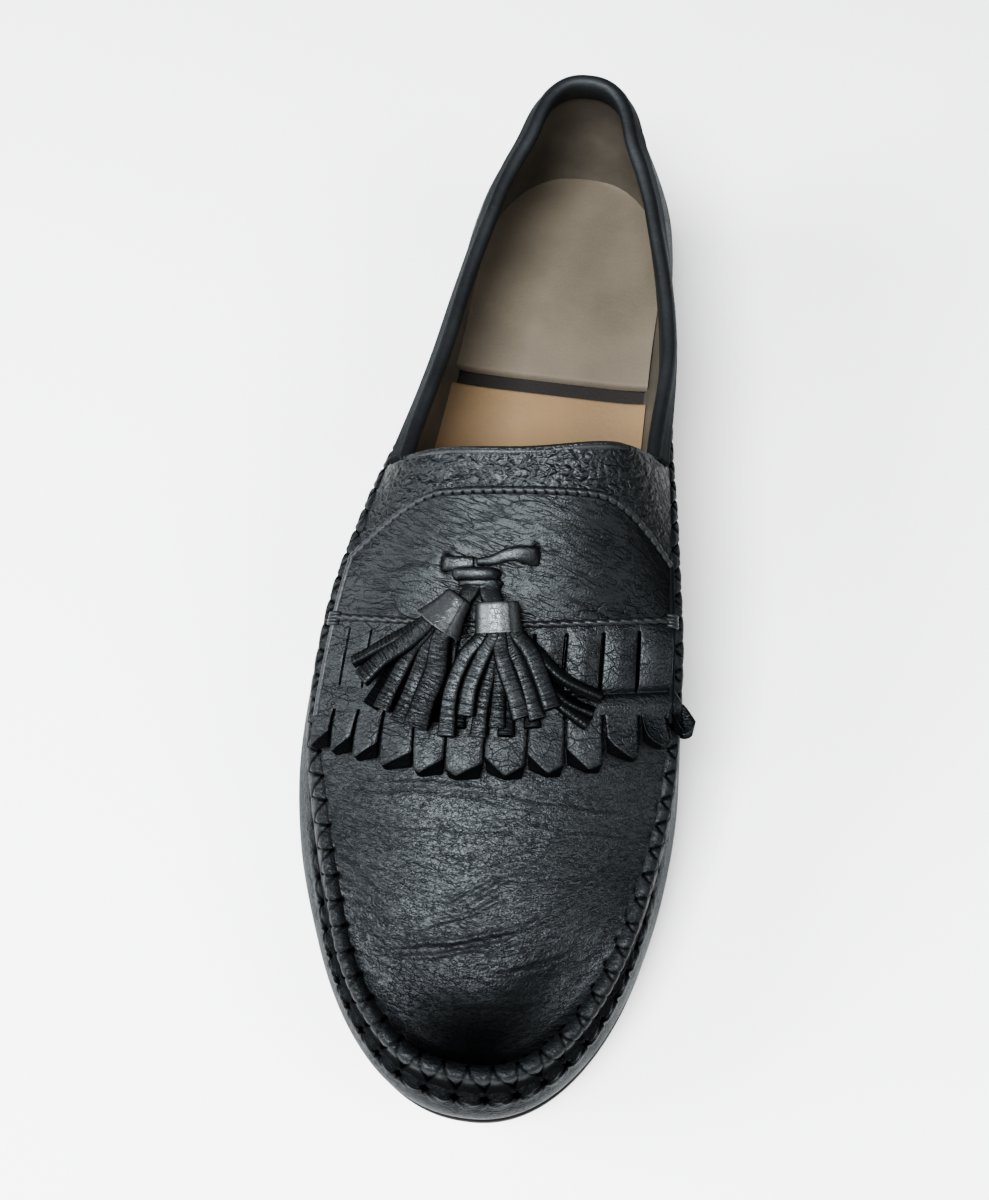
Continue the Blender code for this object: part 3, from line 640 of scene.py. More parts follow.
def leather(name, colour, grain, net, dash, gloss=(0.36, 0.58), shine=0.34, grain_stretch=EVEN,
            net_stretch=EVEN, dash_stretch=(0.35, 1.0, 0.7), turn=0.0, bend=0.0, wander=0.0,
            coords="Object"):
    """Leather with pebbles, a net and dashes: grain is a cell size and a depth in millimetres, net adds
    the width of its lines as a share of a cell, and dash adds the depth of its soft swell. gloss is the
    roughness of tops and lines. A stretch below 1 draws a pattern out; turn, bend and wander turn all
    lines, bow them at the toe and bend them by a slow noise. coords UV follows a strip's own length."""
    material, tree, shader = new_material(name)
    per_unit = 1000.0 if coords == "Object" else 10.0
    source = add(tree, "ShaderNodeTexCoord").outputs[coords]
    patina = use_group(tree, PATINA, {"Vector": add(tree, "ShaderNodeTexCoord").outputs["Object"]})
    if bend:
        source = toe_bend(tree, source, bend)
    if wander:
        source = wavy_place(tree, source, 36.0, wander)
    turned = add(tree, "ShaderNodeMapping", {"Vector": source, "Rotation": (0.0, 0.0, turn)}).outputs[0]
    place = [add(tree, "ShaderNodeMapping", {"Vector": turned, "Scale": stretch}).outputs[0]
             for stretch in (grain_stretch, net_stretch, dash_stretch)]
    pebbles = use_group(tree, PEBBLES, {"Vector": place[0], "Scale": per_unit/grain[0]})
    cracks = use_group(tree, NET, {"Vector": place[1], "Scale": per_unit/net[0], "Width": net[2]})
    drawn = use_group(tree, DASHES, {"Vector": place[2], "Scale": per_unit/dash[0]})
    shade = add(tree, "ShaderNodeAttribute", attribute_name="shade").outputs["Fac"]
    height = weighted(tree, ((pebbles["Height"], grain[1]), (cracks["Line"], -net[1]),
                             (drawn["Line"], -dash[1]), (drawn["Swell"], dash[2])))
    bump = add(tree, "ShaderNodeBump", {"Height": height, "Strength": 1.0, "Distance": 0.001})
    tree.links.new(bump.outputs[0], shader.inputs["Normal"])
    # Painted shade in the grain: its valleys, net lines and dashes are painted darker, the deeper they are.
    low = weighted(tree, ((pebbles["Valley"], min(0.6, 2*grain[1])),
                          (cracks["Line"], min(1.0, 9*net[1])),
                          (drawn["Line"], min(0.8, 9*dash[1]))))
    low = calc(tree, "MINIMUM", low, 1.0)
    tone = mixed(tree, patina["Tone"], colour, tuple(1.4*c for c in colour))
    painted_dark = mixed(tree, low, tone, tuple(0.3*c for c in colour))
    # Painted shade: where the shade attribute is high, the colour goes to black and the surface to a black
    # metal that reflects nothing.
    tree.links.new(mixed(tree, shade, painted_dark, SHADE_BLACK), shader.inputs["Base Color"])
    rough = remap(tree, weighted(tree, ((patina["Tone"], 0.35), (low, 0.65))), 0.0, 1.0, *gloss)
    tree.links.new(calc(tree, "MAXIMUM", rough, shade), shader.inputs["Roughness"])
    tree.links.new(shade, shader.inputs["Metallic"])
    shader.inputs["Specular IOR Level"].default_value = shine
    shader.inputs["Specular Tint"].default_value = (0.91, 0.97, 1.0, 1.0)
    return material


BLACK, SATIN = (0.0032, 0.0038, 0.0046), (0.005, 0.0057, 0.0066)
VAMP_LEATHER = leather("vamp_drawn_grain", BLACK, grain=(0.75, 0.055), grain_stretch=(0.7, 1.0, 0.8),
                       net=(2.3, 0.055, 0.05), net_stretch=(0.5, 1.0, 0.7), dash=(0.9, 0.07, 0.05),
                       dash_stretch=(0.45, 1.0, 0.7), bend=11.0, wander=0.2)
THROAT_LEATHER = leather("throat_scaly_grain", BLACK, grain=(3.0, 0.4), grain_stretch=(0.75, 1.0, 0.8),
                         net=(4.5, 0.06, 0.05), dash=(2.4, 0.03, 0.12), gloss=(0.4, 0.6), shine=0.42)
WALL_LEATHER = leather("wall_pebbled_grain", BLACK, grain=(1.2, 0.13), net=(3.2, 0.05, 0.06),
                       net_stretch=(1.0, 1.0, 0.5), dash=(1.8, 0.05, 0.2), dash_stretch=(1.0, 1.0, 0.5),
                       gloss=(0.45, 0.68), shine=0.2)
SADDLE_LEATHER = leather("saddle_creased_grain", BLACK, grain=(0.9, 0.04), net=(5.5, 0.1, 0.035),
                         net_stretch=(0.36, 1.0, 0.7), dash=(1.9, 0.07, 0.22),
                         dash_stretch=(0.22, 1.0, 0.7), turn=0.2, wander=0.24, shine=0.29)
KILTIE_LEATHER = leather("kiltie_wrinkled_grain", BLACK, grain=(1.3, 0.07), net=(3.8, 0.09, 0.045),
                         net_stretch=(0.8, 1.0, 0.8), dash=(2.0, 0.05, 0.13), dash_stretch=(0.5, 1.0, 0.8),
                         turn=-0.25, wander=0.2)
TASSEL_LEATHER = leather("tassel_strip_leather", (0.0075, 0.0083, 0.0092), grain=(0.8, 0.03), coords="UV",
                         net=(2.4, 0.05, 0.05), net_stretch=(0.5, 1.0, 1.0), dash=(1.0, 0.1, 0.2),
                         dash_stretch=(0.3, 1.0, 1.0), gloss=(0.36, 0.54), shine=0.42)
# Painted light: the cap's black leather gets a far lighter colour than the other black leathers, to stand
# in for its sheen.
CAP_LEATHER = leather("tassel_cap_leather", (0.05, 0.0525, 0.054), grain=(0.8, 0.03), net=(3.0, 0.05, 0.05),
                      dash=(1.5, 0.04, 0.14), dash_stretch=(0.6, 1.0, 0.6), gloss=(0.28, 0.42), shine=0.6)
# Its lighter colour is partly its matt, worn finish and partly painted light, standing in for the sheen on
# its outer face.
BINDING_LEATHER = leather("binding_smooth_leather", (0.015, 0.0163, 0.018), grain=(0.7, 0.03),
                          net=(3.0, 0.03, 0.04), dash=(2.0, 0.02, 0.1), gloss=(0.48, 0.66))
LACE_LEATHER = leather("lace_smooth_leather", (0.008, 0.0088, 0.0098), grain=(0.8, 0.03),
                       net=(4.0, 0.03, 0.04), dash=(1.6, 0.03, 0.12), dash_stretch=(0.5, 1.0, 0.6),
                       gloss=(0.34, 0.48), shine=0.45)
LACING_LEATHER = leather("lacing_satin_leather", SATIN, grain=(0.8, 0.05), net=(2.4, 0.06, 0.06),
                         dash=(1.1, 0.09, 0.2), dash_stretch=(0.6, 1.0, 0.8), gloss=(0.44, 0.64),
                         wander=0.2)
# Painted light: folded edges, cords and rope get a lighter colour than the black leather, to stand in for
# the highlights on them.
EDGE_LEATHER = leather("folded_edge_leather", (0.016, 0.017, 0.0185), grain=(0.8, 0.03),
                       net=(3.0, 0.03, 0.05), dash=(1.4, 0.02, 0.08), gloss=(0.36, 0.52))
print("Leathers:", sorted(m.name for m in bpy.data.materials if m.name.endswith(("grain", "leather"))))

# %% [markdown]
# ## The camera and the light
# The camera comes first, so that each new piece can be judged in the photograph's own view: from above
# the toe, a little to the inner side, rolled so that the shoe leans as it does there. A large soft lamp
# hangs over toe and outer side and a weaker one stands on the outer side. Two faint ones, on the inner
# side and before the toe, and a pale sky light the rest.

# %% Camera, lamps and floor
CAMERA_PLACE = Vector((31.4, -188.9, 426.9))/1000
CAMERA_AIM = Vector((-4.5, -15.5, 45.0))/1000
CAMERA_UP = Vector((-0.1306, 0.9007, 0.4147))
LENS = 45.27
LAMP_AIM = Vector((0.0, -0.02, 0.05))
COOL = (0.97, 0.99, 1.0)


def facing_matrix(place, aim, up):
    """Placement whose -Z looks at aim and whose Y is as near to up as it can be."""
    back = (place - aim).normalized()
    right = up.cross(back).normalized()
    turn = Matrix((right, back.cross(right), back)).transposed()
    return Matrix.Translation(place) @ turn.to_4x4()


def lamp(name, place, size, power, colour=(1.0, 1.0, 1.0)):
    """Square area lamp that looks at the shoe."""
    light = bpy.data.lights.new(name, "AREA")
    light.size = size
    light.energy = power
    light.color = colour
    show(name, light).matrix_world = facing_matrix(Vector(place), LAMP_AIM, Vector((0.0, 1.0, 0.0)))


camera = show("camera", bpy.data.cameras.new("camera"))
camera.data.lens = LENS
camera.data.sensor_width = 36.0
camera.data.clip_start = 0.01
camera.matrix_world = facing_matrix(CAMERA_PLACE, CAMERA_AIM, CAMERA_UP)
bpy.context.scene.camera = camera
lamp("overhead_softbox", (-0.2, -0.52, 1.22), 0.6, 32.0, COOL)
lamp("outer_side_softbox", (-1.2, -0.3, 0.75), 0.8, 19.0, COOL)
lamp("inner_side_softbox", (0.8, -0.3, 1.05), 0.6, 6.5)
lamp("toe_fill", (-0.4, -1.3, 0.5), 0.8, 5.0)
sky = bpy.data.worlds.new("pale_sky")
sky.use_nodes = True
backdrop = sky.node_tree.nodes["Background"].inputs
backdrop["Color"].default_value = (0.95, 0.97, 1.0, 1.0)
backdrop["Strength"].default_value = 0.15
bpy.context.scene.world = sky
bpy.context.scene.view_settings.look = "AgX - High Contrast"


def make_floor():
    """Large plain sheet under the shoe, with a faint tone like paper."""
    reach = 6.0
    corners = [(-reach, -reach, 0), (reach, -reach, 0), (reach, reach, 0), (-reach, reach, 0)]
    mesh = bpy.data.meshes.new("floor")
    mesh.from_pydata(corners, [], [(0, 1, 2, 3)])
    paper, _, shader = new_material("floor_paper")
    shader.inputs["Base Color"].default_value = (0.95, 0.945, 0.94, 1.0)
    shader.inputs["Roughness"].default_value = 0.85
    mesh.materials.append(paper)
    floor = show("floor", mesh)


make_floor()
print("Camera", tuple(round(v, 3) for v in CAMERA_PLACE), "lens", LENS)

# %% [markdown]
# ## Side wall with its lace holes
# The wall wraps the whole shoe from the sole to the seam. It could be a plain loft, but on a hand-laced
# shoe the leather is drawn into pleats at the holes, most of all round the toe, so the surface is pushed
# along its normal: a pleat between each two holes and a small pit at each hole.

# %% Wall
UNITS = 98
PITCH = PERIMETER/UNITS
ROUND = 12*UNITS
ARCS = np.arange(ROUND)*PERIMETER/ROUND
TURNS = np.interp(ARCS, SEAM_ARC, SEAM_TURNS)
CROWN_HOLE, STRAND_RUN = 0.5, 0.6     # upper hole within a pitch, and pitches on to the lower hole


def toe_weight(station):
    """0 along the sides, 1 round the toe, where the seam stands up and the holes show."""
    return smoothstep((station - 222)/45)


def hole_offset(arc, place):
    """Distance along the seam to the nearest hole."""
    return ((arc/PITCH - place + 0.5) % 1 - 0.5)*PITCH


def hole_pits(arc, distance, place, depth_at, radius):
    """Round pits, 1 in the middle of each hole, at a distance from the seam."""
    return np.exp(-(hole_offset(arc, place)**2 + (distance - depth_at)**2)/radius**2)


def outward_normals(grid, wrap=False):
    """Normals of a grid, turned away from the inside of the shoe."""
    normal = grid_normals(grid, wrap)
    away = (grid - np.array([0.0, LENGTH/2, INSIDE_HEIGHT]))*OUT_WEIGHTS
    return normal*np.sign(np.sum(normal*away))


def seam_drop(turn, rise):
    """Distance down the wall from the seam, from the chord of its upper half."""
    return (1 - rise)*2*np.linalg.norm(seam_point(turn) - wall(turn, 0.5), axis=-1)


def lower_hole(toe):
    """Distance down the wall of the lower holes: further round the toe."""
    return 3.4 + 2.9*toe


def make_wall():
    """Wall pushed along its normal: a pit at each lower hole, puckers that run from it as seven rays and
    fade with distance, a pleat between the holes and, round the toe, a furrow with a swelling below it.
    The painted shade is even, lighter toward the seam and round the toe, and black in the holes: it takes
    away the floor's reflection at a low angle and stands for the holes' own shade."""
    rises = np.concatenate([np.linspace(0, 0.5, 14), np.linspace(0.5, 1, 42)[1:]])[:, None]
    grid = wall(TURNS[None, :], rises)
    drop = seam_drop(TURNS[None, :], rises)
    toe = toe_weight(grid[..., 1])
    place = (CROWN_HOLE + STRAND_RUN) % 1
    aside, below = hole_offset(ARCS, place), drop - lower_hole(toe)
    pits = hole_pits(ARCS, drop, place, lower_hole(toe), 0.85)*(0.4 + 0.6*toe)
    reach = np.hypot(aside, below)
    rays = np.cos(7*np.arctan2(below, aside) + 1.3*np.sin(ARCS))
    puckers = 0.45*toe*rays*smoothstep(reach/1.2)*np.exp(-(reach/3.2)**2)
    between = 0.5 + 0.5*np.cos(2*np.pi*aside/PITCH)
    pleats = (0.10 + 0.25*toe)*between*np.exp(-((below - 0.5)/3.4)**2)
    swell = toe*(0.7*np.exp(-((drop - 7.0)/2.4)**2) - 1.1*np.exp(-((drop - 3.0)/1.5)**2))
    grid = grid + outward_normals(grid, True)*(puckers + swell - pleats - 1.1*pits)[..., None]
    # Painted shade over the wall, to take away its reflection of the floor at a low angle.
    painted_dark = (0.56 - 0.2*toe)*(1 - 0.4*smoothstep((rises - 0.7)/0.3))
    piece("wall_leather", grid, "upper", WALL_LEATHER, "out", wrap=True,
          shade=np.clip(painted_dark + 1.3*pits, 0, 1))


make_wall()

# %% [markdown]
# ## Vamp and throat piece
# Two panels share the cross lines: the scaly throat piece behind the saddle, and the vamp from under the
# kiltie to the toe. Wear has folded the vamp where the foot bends. Each fold is placed as a short
# bowed line in the shoe's own sizes, with a soft trough along it and a low ridge on either side.

# %% Vamp
FOLD_COLUMNS = ("x0", "s0", "x1", "s1", "bow", "depth", "width")
VAMP_FOLDS = (
    (-40.0, 227.5, 14.0, 226.0, -2.0, 0.22, 0.6),
    (-34.0, 233.5, 20.0, 230.5, 1.5, 0.15, 0.6),
    (-30.0, 223.5, 6.0, 222.0, -1.0, 0.16, 0.55),
    (4.0, 223.0, 44.0, 221.0, 1.0, 0.20, 0.6),
    (10.0, 229.0, 42.0, 227.0, 1.0, 0.15, 0.55),
    (-38.0, 240.0, -12.0, 258.0, -1.5, 0.16, 0.6),
    (-32.0, 252.0, -8.0, 262.0, -1.0, 0.16, 0.6),
    (-37.0, 246.0, -18.0, 255.0, -1.0, 0.14, 0.55),
    (-29.0, 258.0, -10.0, 268.0, -1.0, 0.16, 0.55),
    (-34.0, 243.0, -6.0, 250.0, -1.5, 0.14, 0.55),
    (-24.0, 263.0, -4.0, 272.0, -1.0, 0.14, 0.55),
    (-20.0, 263.5, 30.0, 247.5, 3.2, 0.30, 0.7),
    (-18.0, 266.5, 22.0, 253.5, 2.6, 0.20, 0.55),
    (-12.0, 259.0, 14.0, 246.0, 1.4, 0.20, 0.6),
    (0.0, 251.0, 22.0, 235.0, 0.8, 0.18, 0.6),
    (-6.0, 253.0, 10.0, 240.0, 0.8, 0.15, 0.55),
    (8.0, 244.0, 34.0, 238.0, 0.8, 0.16, 0.6),
    (24.0, 249.0, 42.0, 233.0, -1.0, 0.18, 0.6),
    (6.0, 268.0, 32.0, 258.0, 1.4, 0.20, 0.6),
    (2.0, 262.5, 28.0, 254.5, 1.4, 0.15, 0.55),
    (-2.0, 276.5, 26.0, 272.0, 1.5, 0.16, 0.65))
THROAT_FOLDS = (
    (-34.0, 147.5, -8.0, 148.5, 0.8, 0.28, 1.0),
    (-14.0, 145.5, 22.0, 144.0, -0.8, 0.25, 1.0),
    (8.0, 148.0, 32.0, 143.0, 0.8, 0.28, 1.0))
TOE_VALLEY, CREST_RISE = 2.6, 1.5     # depth of the dip behind the toe seam, height of its crest
UPPER_HOLE = 2.6          # distance of the upper holes from the seam
HIDDEN_SHARE = 0.25       # cross line under the saddle where the two panels part


def folds(rows, x, station):
    """Sum of soft troughs: each falls off as a bell curve from a bowed line between its two ends, which
    wanders a little as skin does, and a low ridge stands on either side of it."""
    total = np.zeros(np.broadcast_shapes(np.shape(x), np.shape(station)))
    for row in rows:
        fold = dict(zip(FOLD_COLUMNS, row))
        dx, ds = fold["x1"] - fold["x0"], fold["s1"] - fold["s0"]
        length = np.hypot(dx, ds)
        part = ((x - fold["x0"])*dx + (station - fold["s0"])*ds)/length**2
        off = ((station - fold["s0"])*dx - (x - fold["x0"])*ds)/length
        along = length*part
        wander = 0.25*np.sin(0.4*along + fold["s0"]) + 0.08*np.sin(1.5*along + fold["x0"])
        off = off - 4*fold["bow"]*part*(1 - part) - wander
        fade = smoothstep(part/0.25)*smoothstep((1 - part)/0.25)
        trough = np.exp(-(off/fold["width"])**2)
        ridge = np.exp(-((np.abs(off + 0.3*fold["width"]) - 2.3*fold["width"])/(1.2*fold["width"]))**2)
        total = total + fold["depth"]*fade*(0.55*ridge - trough)
    return total


def vamp_grid(turns, parts):
    """Cross lines from the outer seam over the middle to the inner seam, the distance of each point
    from its seam and the length along the seam where its line starts."""
    outer = crown_lines(turns[:, None], parts[None, :])
    inner = crown_lines(2*np.pi - turns[:, None], parts[None, :-1][:, ::-1])
    grid = np.concatenate([outer, inner], 1)
    run = np.cumsum(np.linalg.norm(np.diff(grid, axis=1), axis=2), axis=1)
    run = np.concatenate([np.zeros((len(turns), 1)), run], 1)
    middle = len(parts) - 1
    drop = np.where(np.arange(grid.shape[1]) <= middle, run, run[:, -1:] - run)
    arc = np.interp(turns, SEAM_TURNS, SEAM_ARC)[:, None]
    arc = np.where(np.arange(grid.shape[1]) <= middle, arc, PERIMETER - arc)
    return grid, drop, arc


def make_vamp():
    """Both panels pushed along their normal: folds, a crest along the toe seam, the dip behind it, which
    is shallower on the outer side, and a pit at each upper hole. Painted shade darkens the toe, most of all
    a little to the inner side of its middle, and paints the upper holes black."""
    parts = np.linspace(0, 1, 96)
    turns = np.linspace(CORNER, np.pi, 340)
    grid, drop, arc = vamp_grid(turns, parts)
    x, station = grid[..., 0], grid[..., 1]
    toe = toe_weight(station)
    pits = hole_pits(arc, drop, CROWN_HOLE, UPPER_HOLE + 0.3, 0.45 + 0.3*toe)
    pits = pits*smoothstep((station - 205)/12)*(0.5 + 0.5*toe)
    crest = 0.6*CREST_RISE*toe*np.exp(-((drop - 0.8)/1.9)**2)
    front = smoothstep((station - 250)/26)
    valley = TOE_VALLEY*front*smoothstep((drop - 1.5)/5)*np.exp(-(np.maximum(drop - 11, 0)/9.0)**2)
    valley = valley*(0.3 + 0.7*smoothstep((x + 18)/22))
    shown = smoothstep((station - 206)/10)
    push = folds(VAMP_FOLDS, x, station)*shown + folds(THROAT_FOLDS, x, station)
    push = push + crest - valley - 0.9*pits
    grid = grid + crown_normal(x, station)*push[..., None]
    cut = int(np.sum(throat_share(turns) < HIDDEN_SHARE))
    middle = len(parts) - 1

    def close_toe(same):
        """The foremost line runs out and back along the middle, so its two halves are joined."""
        same[-1, middle + 1:] = same[-1, :middle][::-1]
        return same

    piece("throat_leather", grid[:cut + 1], "upper", THROAT_LEATHER, "up")
    # Painted shade: the toe is darkened, strongest a little to the inner side of its middle, and the upper
    # holes are painted black.
    painted_toe_shade = 0.69*smoothstep((station - 240)/36)*np.exp(-((x - 9)/21)**2)
    painted_toe_shade = painted_toe_shade*np.exp(-(np.maximum(drop - 8, 0)/15)**2) + 0.12*smoothstep((station - 246)/26)
    piece("vamp_leather", grid[cut:], "upper", VAMP_LEATHER, "up", weld=close_toe,
          shade=np.clip(1.2*pits + painted_toe_shade, 0, 1)[cut:])


make_vamp()

# %% [markdown]
# ## Collar band, throat edge and lining
# Behind the throat a narrow band joins the seam to the topline. The throat's edge is turned over, so it
# is a small roll that carries on inside. The lining is the same set of surfaces, moved in by the wall's
# thickness, so the shoe is hollow from every side.

# %% Band, throat roll and lining
LINING = leather("lining_kid_leather", (0.10, 0.089, 0.074), grain=(0.8, 0.02), net=(8.0, 0.004, 0.04),
                 dash=(3.0, 0.004, 0.1), gloss=(0.55, 0.75))
THROAT_ROLL = ((1.6, -0.05), (1.1, 0.14), (0.5, 0.1), (0.0, -0.15), (-0.45, -0.65), (-0.6, -1.3),
               (-0.3, -2.0), (0.8, -2.35), (4.0, -2.3), (12.0, -2.25))


def band_grid(turns, shares):
    """Straight lines from the seam (share 0) up to the topline (share 1)."""
    seam = seam_point(turns)
    return seam[None] + shares[:, None, None]*(topline(turns) - seam)[None]


def throat_edge(count):
    """Edge of the throat from its outer to its inner corner, its forward direction and its normal."""
    parts = np.linspace(0.55*part_at(np.float64(CORNER), BAND), 1, count)
    halves = []
    for corner, step in ((CORNER, 0.03), (2*np.pi - CORNER, -0.03)):
        edge = crown_lines(corner, parts)
        halves.append((edge, unit(crown_lines(corner + step, parts) - edge)))
    edge = np.concatenate([halves[0][0], halves[1][0][-2::-1]])
    ahead = np.concatenate([halves[0][1], halves[1][1][-2::-1]])
    return edge, ahead, crown_normal(edge[:, 0], edge[:, 1])


def make_collar():
    """Band from seam to topline, the throat's rolled edge, and the lining under band, wall and vamp."""
    turns = np.linspace(-CORNER, CORNER, 460)
    band = band_grid(turns, np.linspace(0, 1, 14))
    # The band gets painted shade, to take away its reflection of the floor at a low angle.
    piece("collar_band", band, "upper", WALL_LEATHER, "out", shade=0.6)
    edge, ahead, normal = throat_edge(90)
    piece("throat_roll", sweep(edge, ahead, normal, THROAT_ROLL).transpose(1, 0, 2), "upper",
          EDGE_LEATHER, "up")
    inside = band_grid(turns, np.linspace(0, 1.0, 10))
    inside = inside - WALL*outward_normals(inside)
    piece("collar_lining", inside, "upper", LINING, "in")
    around = np.linspace(0, 2*np.pi, 361)[:-1]
    side = wall(around[None, :], np.linspace(0, 1, 24)[:, None])
    piece("wall_lining", side - WALL*outward_normals(side, True), "upper", LINING, "in",
          wrap=True)
    grid, _, _ = vamp_grid(np.linspace(CORNER, np.pi, 120), np.linspace(0, 1, 30))
    grid = grid - (WALL + TOE_VALLEY)*crown_normal(grid[..., 0], grid[..., 1])
    piece("vamp_lining", grid[:-1], "upper", LINING, "down")


make_collar()

# %% [markdown]
# ## Rolled binding
# A strip of smooth leather is folded over the topline from one throat corner round the heel to the
# other. A curve with a bevel would give a round tube, but the real binding has a flat outer face with a
# lip along its lower edge, so a drawn section is carried along the topline.

# %% Binding
BINDING_SECTION = ((0.3, -4.7), (1.1, -4.75), (1.6, -4.1), (1.45, -3.3), (1.25, -1.6), (1.2, 0.2),
                   (0.85, 1.7), (0.1, 2.7), (-1.1, 3.15), (-2.3, 2.8), (-3.1, 1.7), (-3.4, 0.0),
                   (-3.5, -2.5), (-3.4, -5.5), (-3.0, -6.6), (-2.3, -6.6))


def make_binding():
    """Section carried along the topline, closed by a point at each end, its outer face painted darker as
    shade, to take away its reflection at a low angle.
    """
    turns = np.linspace(-CORNER - 0.006, CORNER + 0.006, 640)
    band = band_grid(np.clip(turns, -CORNER, CORNER), np.array([0.6, 1.0]))
    out = outward_normals(band)[1]
    up = unit(band[1] - band[0])
    rings = sweep(topline(turns), out, up, BINDING_SECTION)
    ends = np.repeat(rings[[0, -1]].mean(1, keepdims=True), rings.shape[1], 1)
    rings = np.concatenate([ends[:1], rings, ends[1:]])
    # Painted shade on the outer face of the binding.
    outer_face = np.interp(np.arange(len(BINDING_SECTION)), (0, 5, 7.5), (0.7, 0.7, 0.0))
    piece("collar_binding", rings, "topline_binding", BINDING_LEATHER, wrap=True,
          poles=True, shade=outer_face[None, :])


make_binding()

# %% [markdown]
# ## Laced seam
# A flat leather lace is sewn over the seam: it slants from each upper hole forward to a lower hole and
# comes back to the next upper one. Pulled tight, it lies flat and shows only as a zigzag of thin lines.
# So it is one bead, carved along a zigzag in seam coordinates: length along the seam, distance across it
# and height over it. A table of points and normals turns those into places.

# %% Lacing
ACROSS = np.linspace(-9, 9, 37)     # distances across the seam in the table
SMOOTHING = 5                       # rows to each side that a normal is averaged over


def seam_table():
    """Points at each distance across the seam, wall side negative, and smoothed normals there."""
    rows = []
    quarter = throat_share(TURNS) <= 0
    seam = seam_point(TURNS)
    span = 2*np.linalg.norm(seam - wall(TURNS, 0.5), axis=-1)
    rim = unit(topline(TURNS) - seam)
    for distance in ACROSS:
        if distance <= 0:
            rows.append(wall(TURNS, 1 + distance/span))
        else:
            vamp = crown_lines(TURNS, part_at(TURNS, distance))
            rows.append(np.where(quarter[:, None], seam + rim*distance, vamp))
    table = np.array(rows)
    normal = outward_normals(table, True)
    window = np.hanning(2*SMOOTHING + 3)[1:-1]
    padded = np.pad(normal, ((SMOOTHING, SMOOTHING), (0, 0), (0, 0)), mode="edge")
    smooth = sum(weight*padded[i:i + len(ACROSS)] for i, weight in enumerate(window))
    return table, unit(smooth)


SEAM_POINTS, SEAM_NORMALS = seam_table()


def over_seam(arc, across, height):
    """Place of seam coordinates: bilinear in the table, then height along the normal."""
    column = (arc/PERIMETER*ROUND) % ROUND
    left = np.floor(column).astype(int) % ROUND
    right = (left + 1) % ROUND
    row = np.clip((across - ACROSS[0])/(ACROSS[1] - ACROSS[0]), 0, len(ACROSS) - 1.001)
    low = row.astype(int)
    s, t = (column - np.floor(column))[..., None], (row - low)[..., None]

    def look_up(table):
        """Bilinear between the four nearest entries."""
        return ((table[low, left]*(1 - s) + table[low, right]*s)*(1 - t)
                + (table[low + 1, left]*(1 - s) + table[low + 1, right]*s)*t)

    return look_up(SEAM_POINTS) + np.asarray(height)[..., None]*unit(look_up(SEAM_NORMALS))


def line_distance(u, v, first, last):
    """Distance in seam coordinates from each point to the straight line between two others."""
    du, dv = last[0] - first[0], last[1] - first[1]
    part = np.clip(((u - first[0])*du + (v - first[1])*dv)/(du**2 + dv**2), 0, 1)
    return np.hypot(u - first[0] - part*du, v - first[1] - part*dv)


def make_lacing():
    """A low bead along the seam. Each unit's zigzag runs from an upper hole down to a lower one and back
    up to the next: the bead is cut along it as a bell curve, and swells with the distance from it."""
    columns = 22*UNITS
    arc = (np.arange(columns)*PERIMETER/columns)[None, :]
    share = np.linspace(-1, 1, 36)[:, None]
    station = np.interp(arc, SEAM_ARC, SEAM_LINE[:, 1])
    toe = toe_weight(station)
    quarter = 1 - smoothstep((station - 125)/40)
    across = np.where(share < 0, share*(3.9 + 1.5*toe), share*(UPPER_HOLE + 0.6))
    u = (arc - CROWN_HOLE*PITCH) % PITCH + 0*across
    low = -1.9 - 2.0*toe
    gap = np.full(u.shape, np.inf)
    for shift in (-PITCH, 0.0, PITCH):
        upper, lower, following = shift, shift + STRAND_RUN*PITCH, shift + PITCH
        gap = np.minimum(gap, line_distance(u, across, (upper, UPPER_HOLE), (lower, low)))
        gap = np.minimum(gap, line_distance(u, across, (lower, low), (following, UPPER_HOLE)))
    groove = np.exp(-(gap/0.3)**2)
    swollen = 1 - np.exp(-gap/0.8)
    body = 1 - share**4
    crest = CREST_RISE*toe*np.exp(-((across - 0.8)/1.9)**2)
    sunk = 0.9*toe*np.exp(-((across + 3.0)/1.6)**2)
    height = -0.4 + body*(0.75 + (0.45 - 0.15*toe)*swollen - 0.3*groove) + crest - sunk
    band = over_seam(arc + 0*across, across, height)
    # Painted shade: black in the zigzag's lines and the upper holes, dark below the crest round the toe,
    # where the lace lies in shadow, and dark over the quarters, to take away their reflection at a low
    # angle.
    holes = np.exp(-((u - PITCH*np.round(u/PITCH))**2 + (across - UPPER_HOLE)**2)/0.6**2)
    under = toe*smoothstep((0.4 - across)/2.4)
    dark = np.clip((0.8 - 0.3*toe)*groove + 0.9*holes + 0.68*under + 0.6*quarter, 0, 0.92)
    piece("lacing_band", band, "seam_lacing", LACING_LEATHER, "out", wrap=True,
          shade=dark)


make_lacing()

# %% [markdown]
# ## Saddle
# The saddle lies over the instep, cut from the vamp's own surface and one leather thickness higher. It is
# one sheet whose borders round over and come down to the vamp. The lace passes through two holes, and the
# leather has crept into soft folds round them, again placed one by one.

# %% Saddle
LACE_HOLES = ((7.0, 165.6), (-15.7, 169.7))
SADDLE_FOLDS = (
    (10.0, 163.0, 33.0, 171.0, 1.0, 0.14, 1.0),
    (9.0, 160.0, 32.0, 163.0, -1.0, 0.12, 0.9),
    (-32.0, 171.0, -18.0, 168.0, 0.5, 0.22, 1.0),
    (-20.0, 162.0, 0.0, 158.0, 0.8, 0.20, 1.0),
    (12.0, 172.0, 36.0, 177.0, 0.8, 0.14, 1.0))


def overlay_half(station):
    """Half the width of the overlays at a station."""
    left, right = seam_sides(station)
    return (right - left)/2 - OVERLAY_EDGE


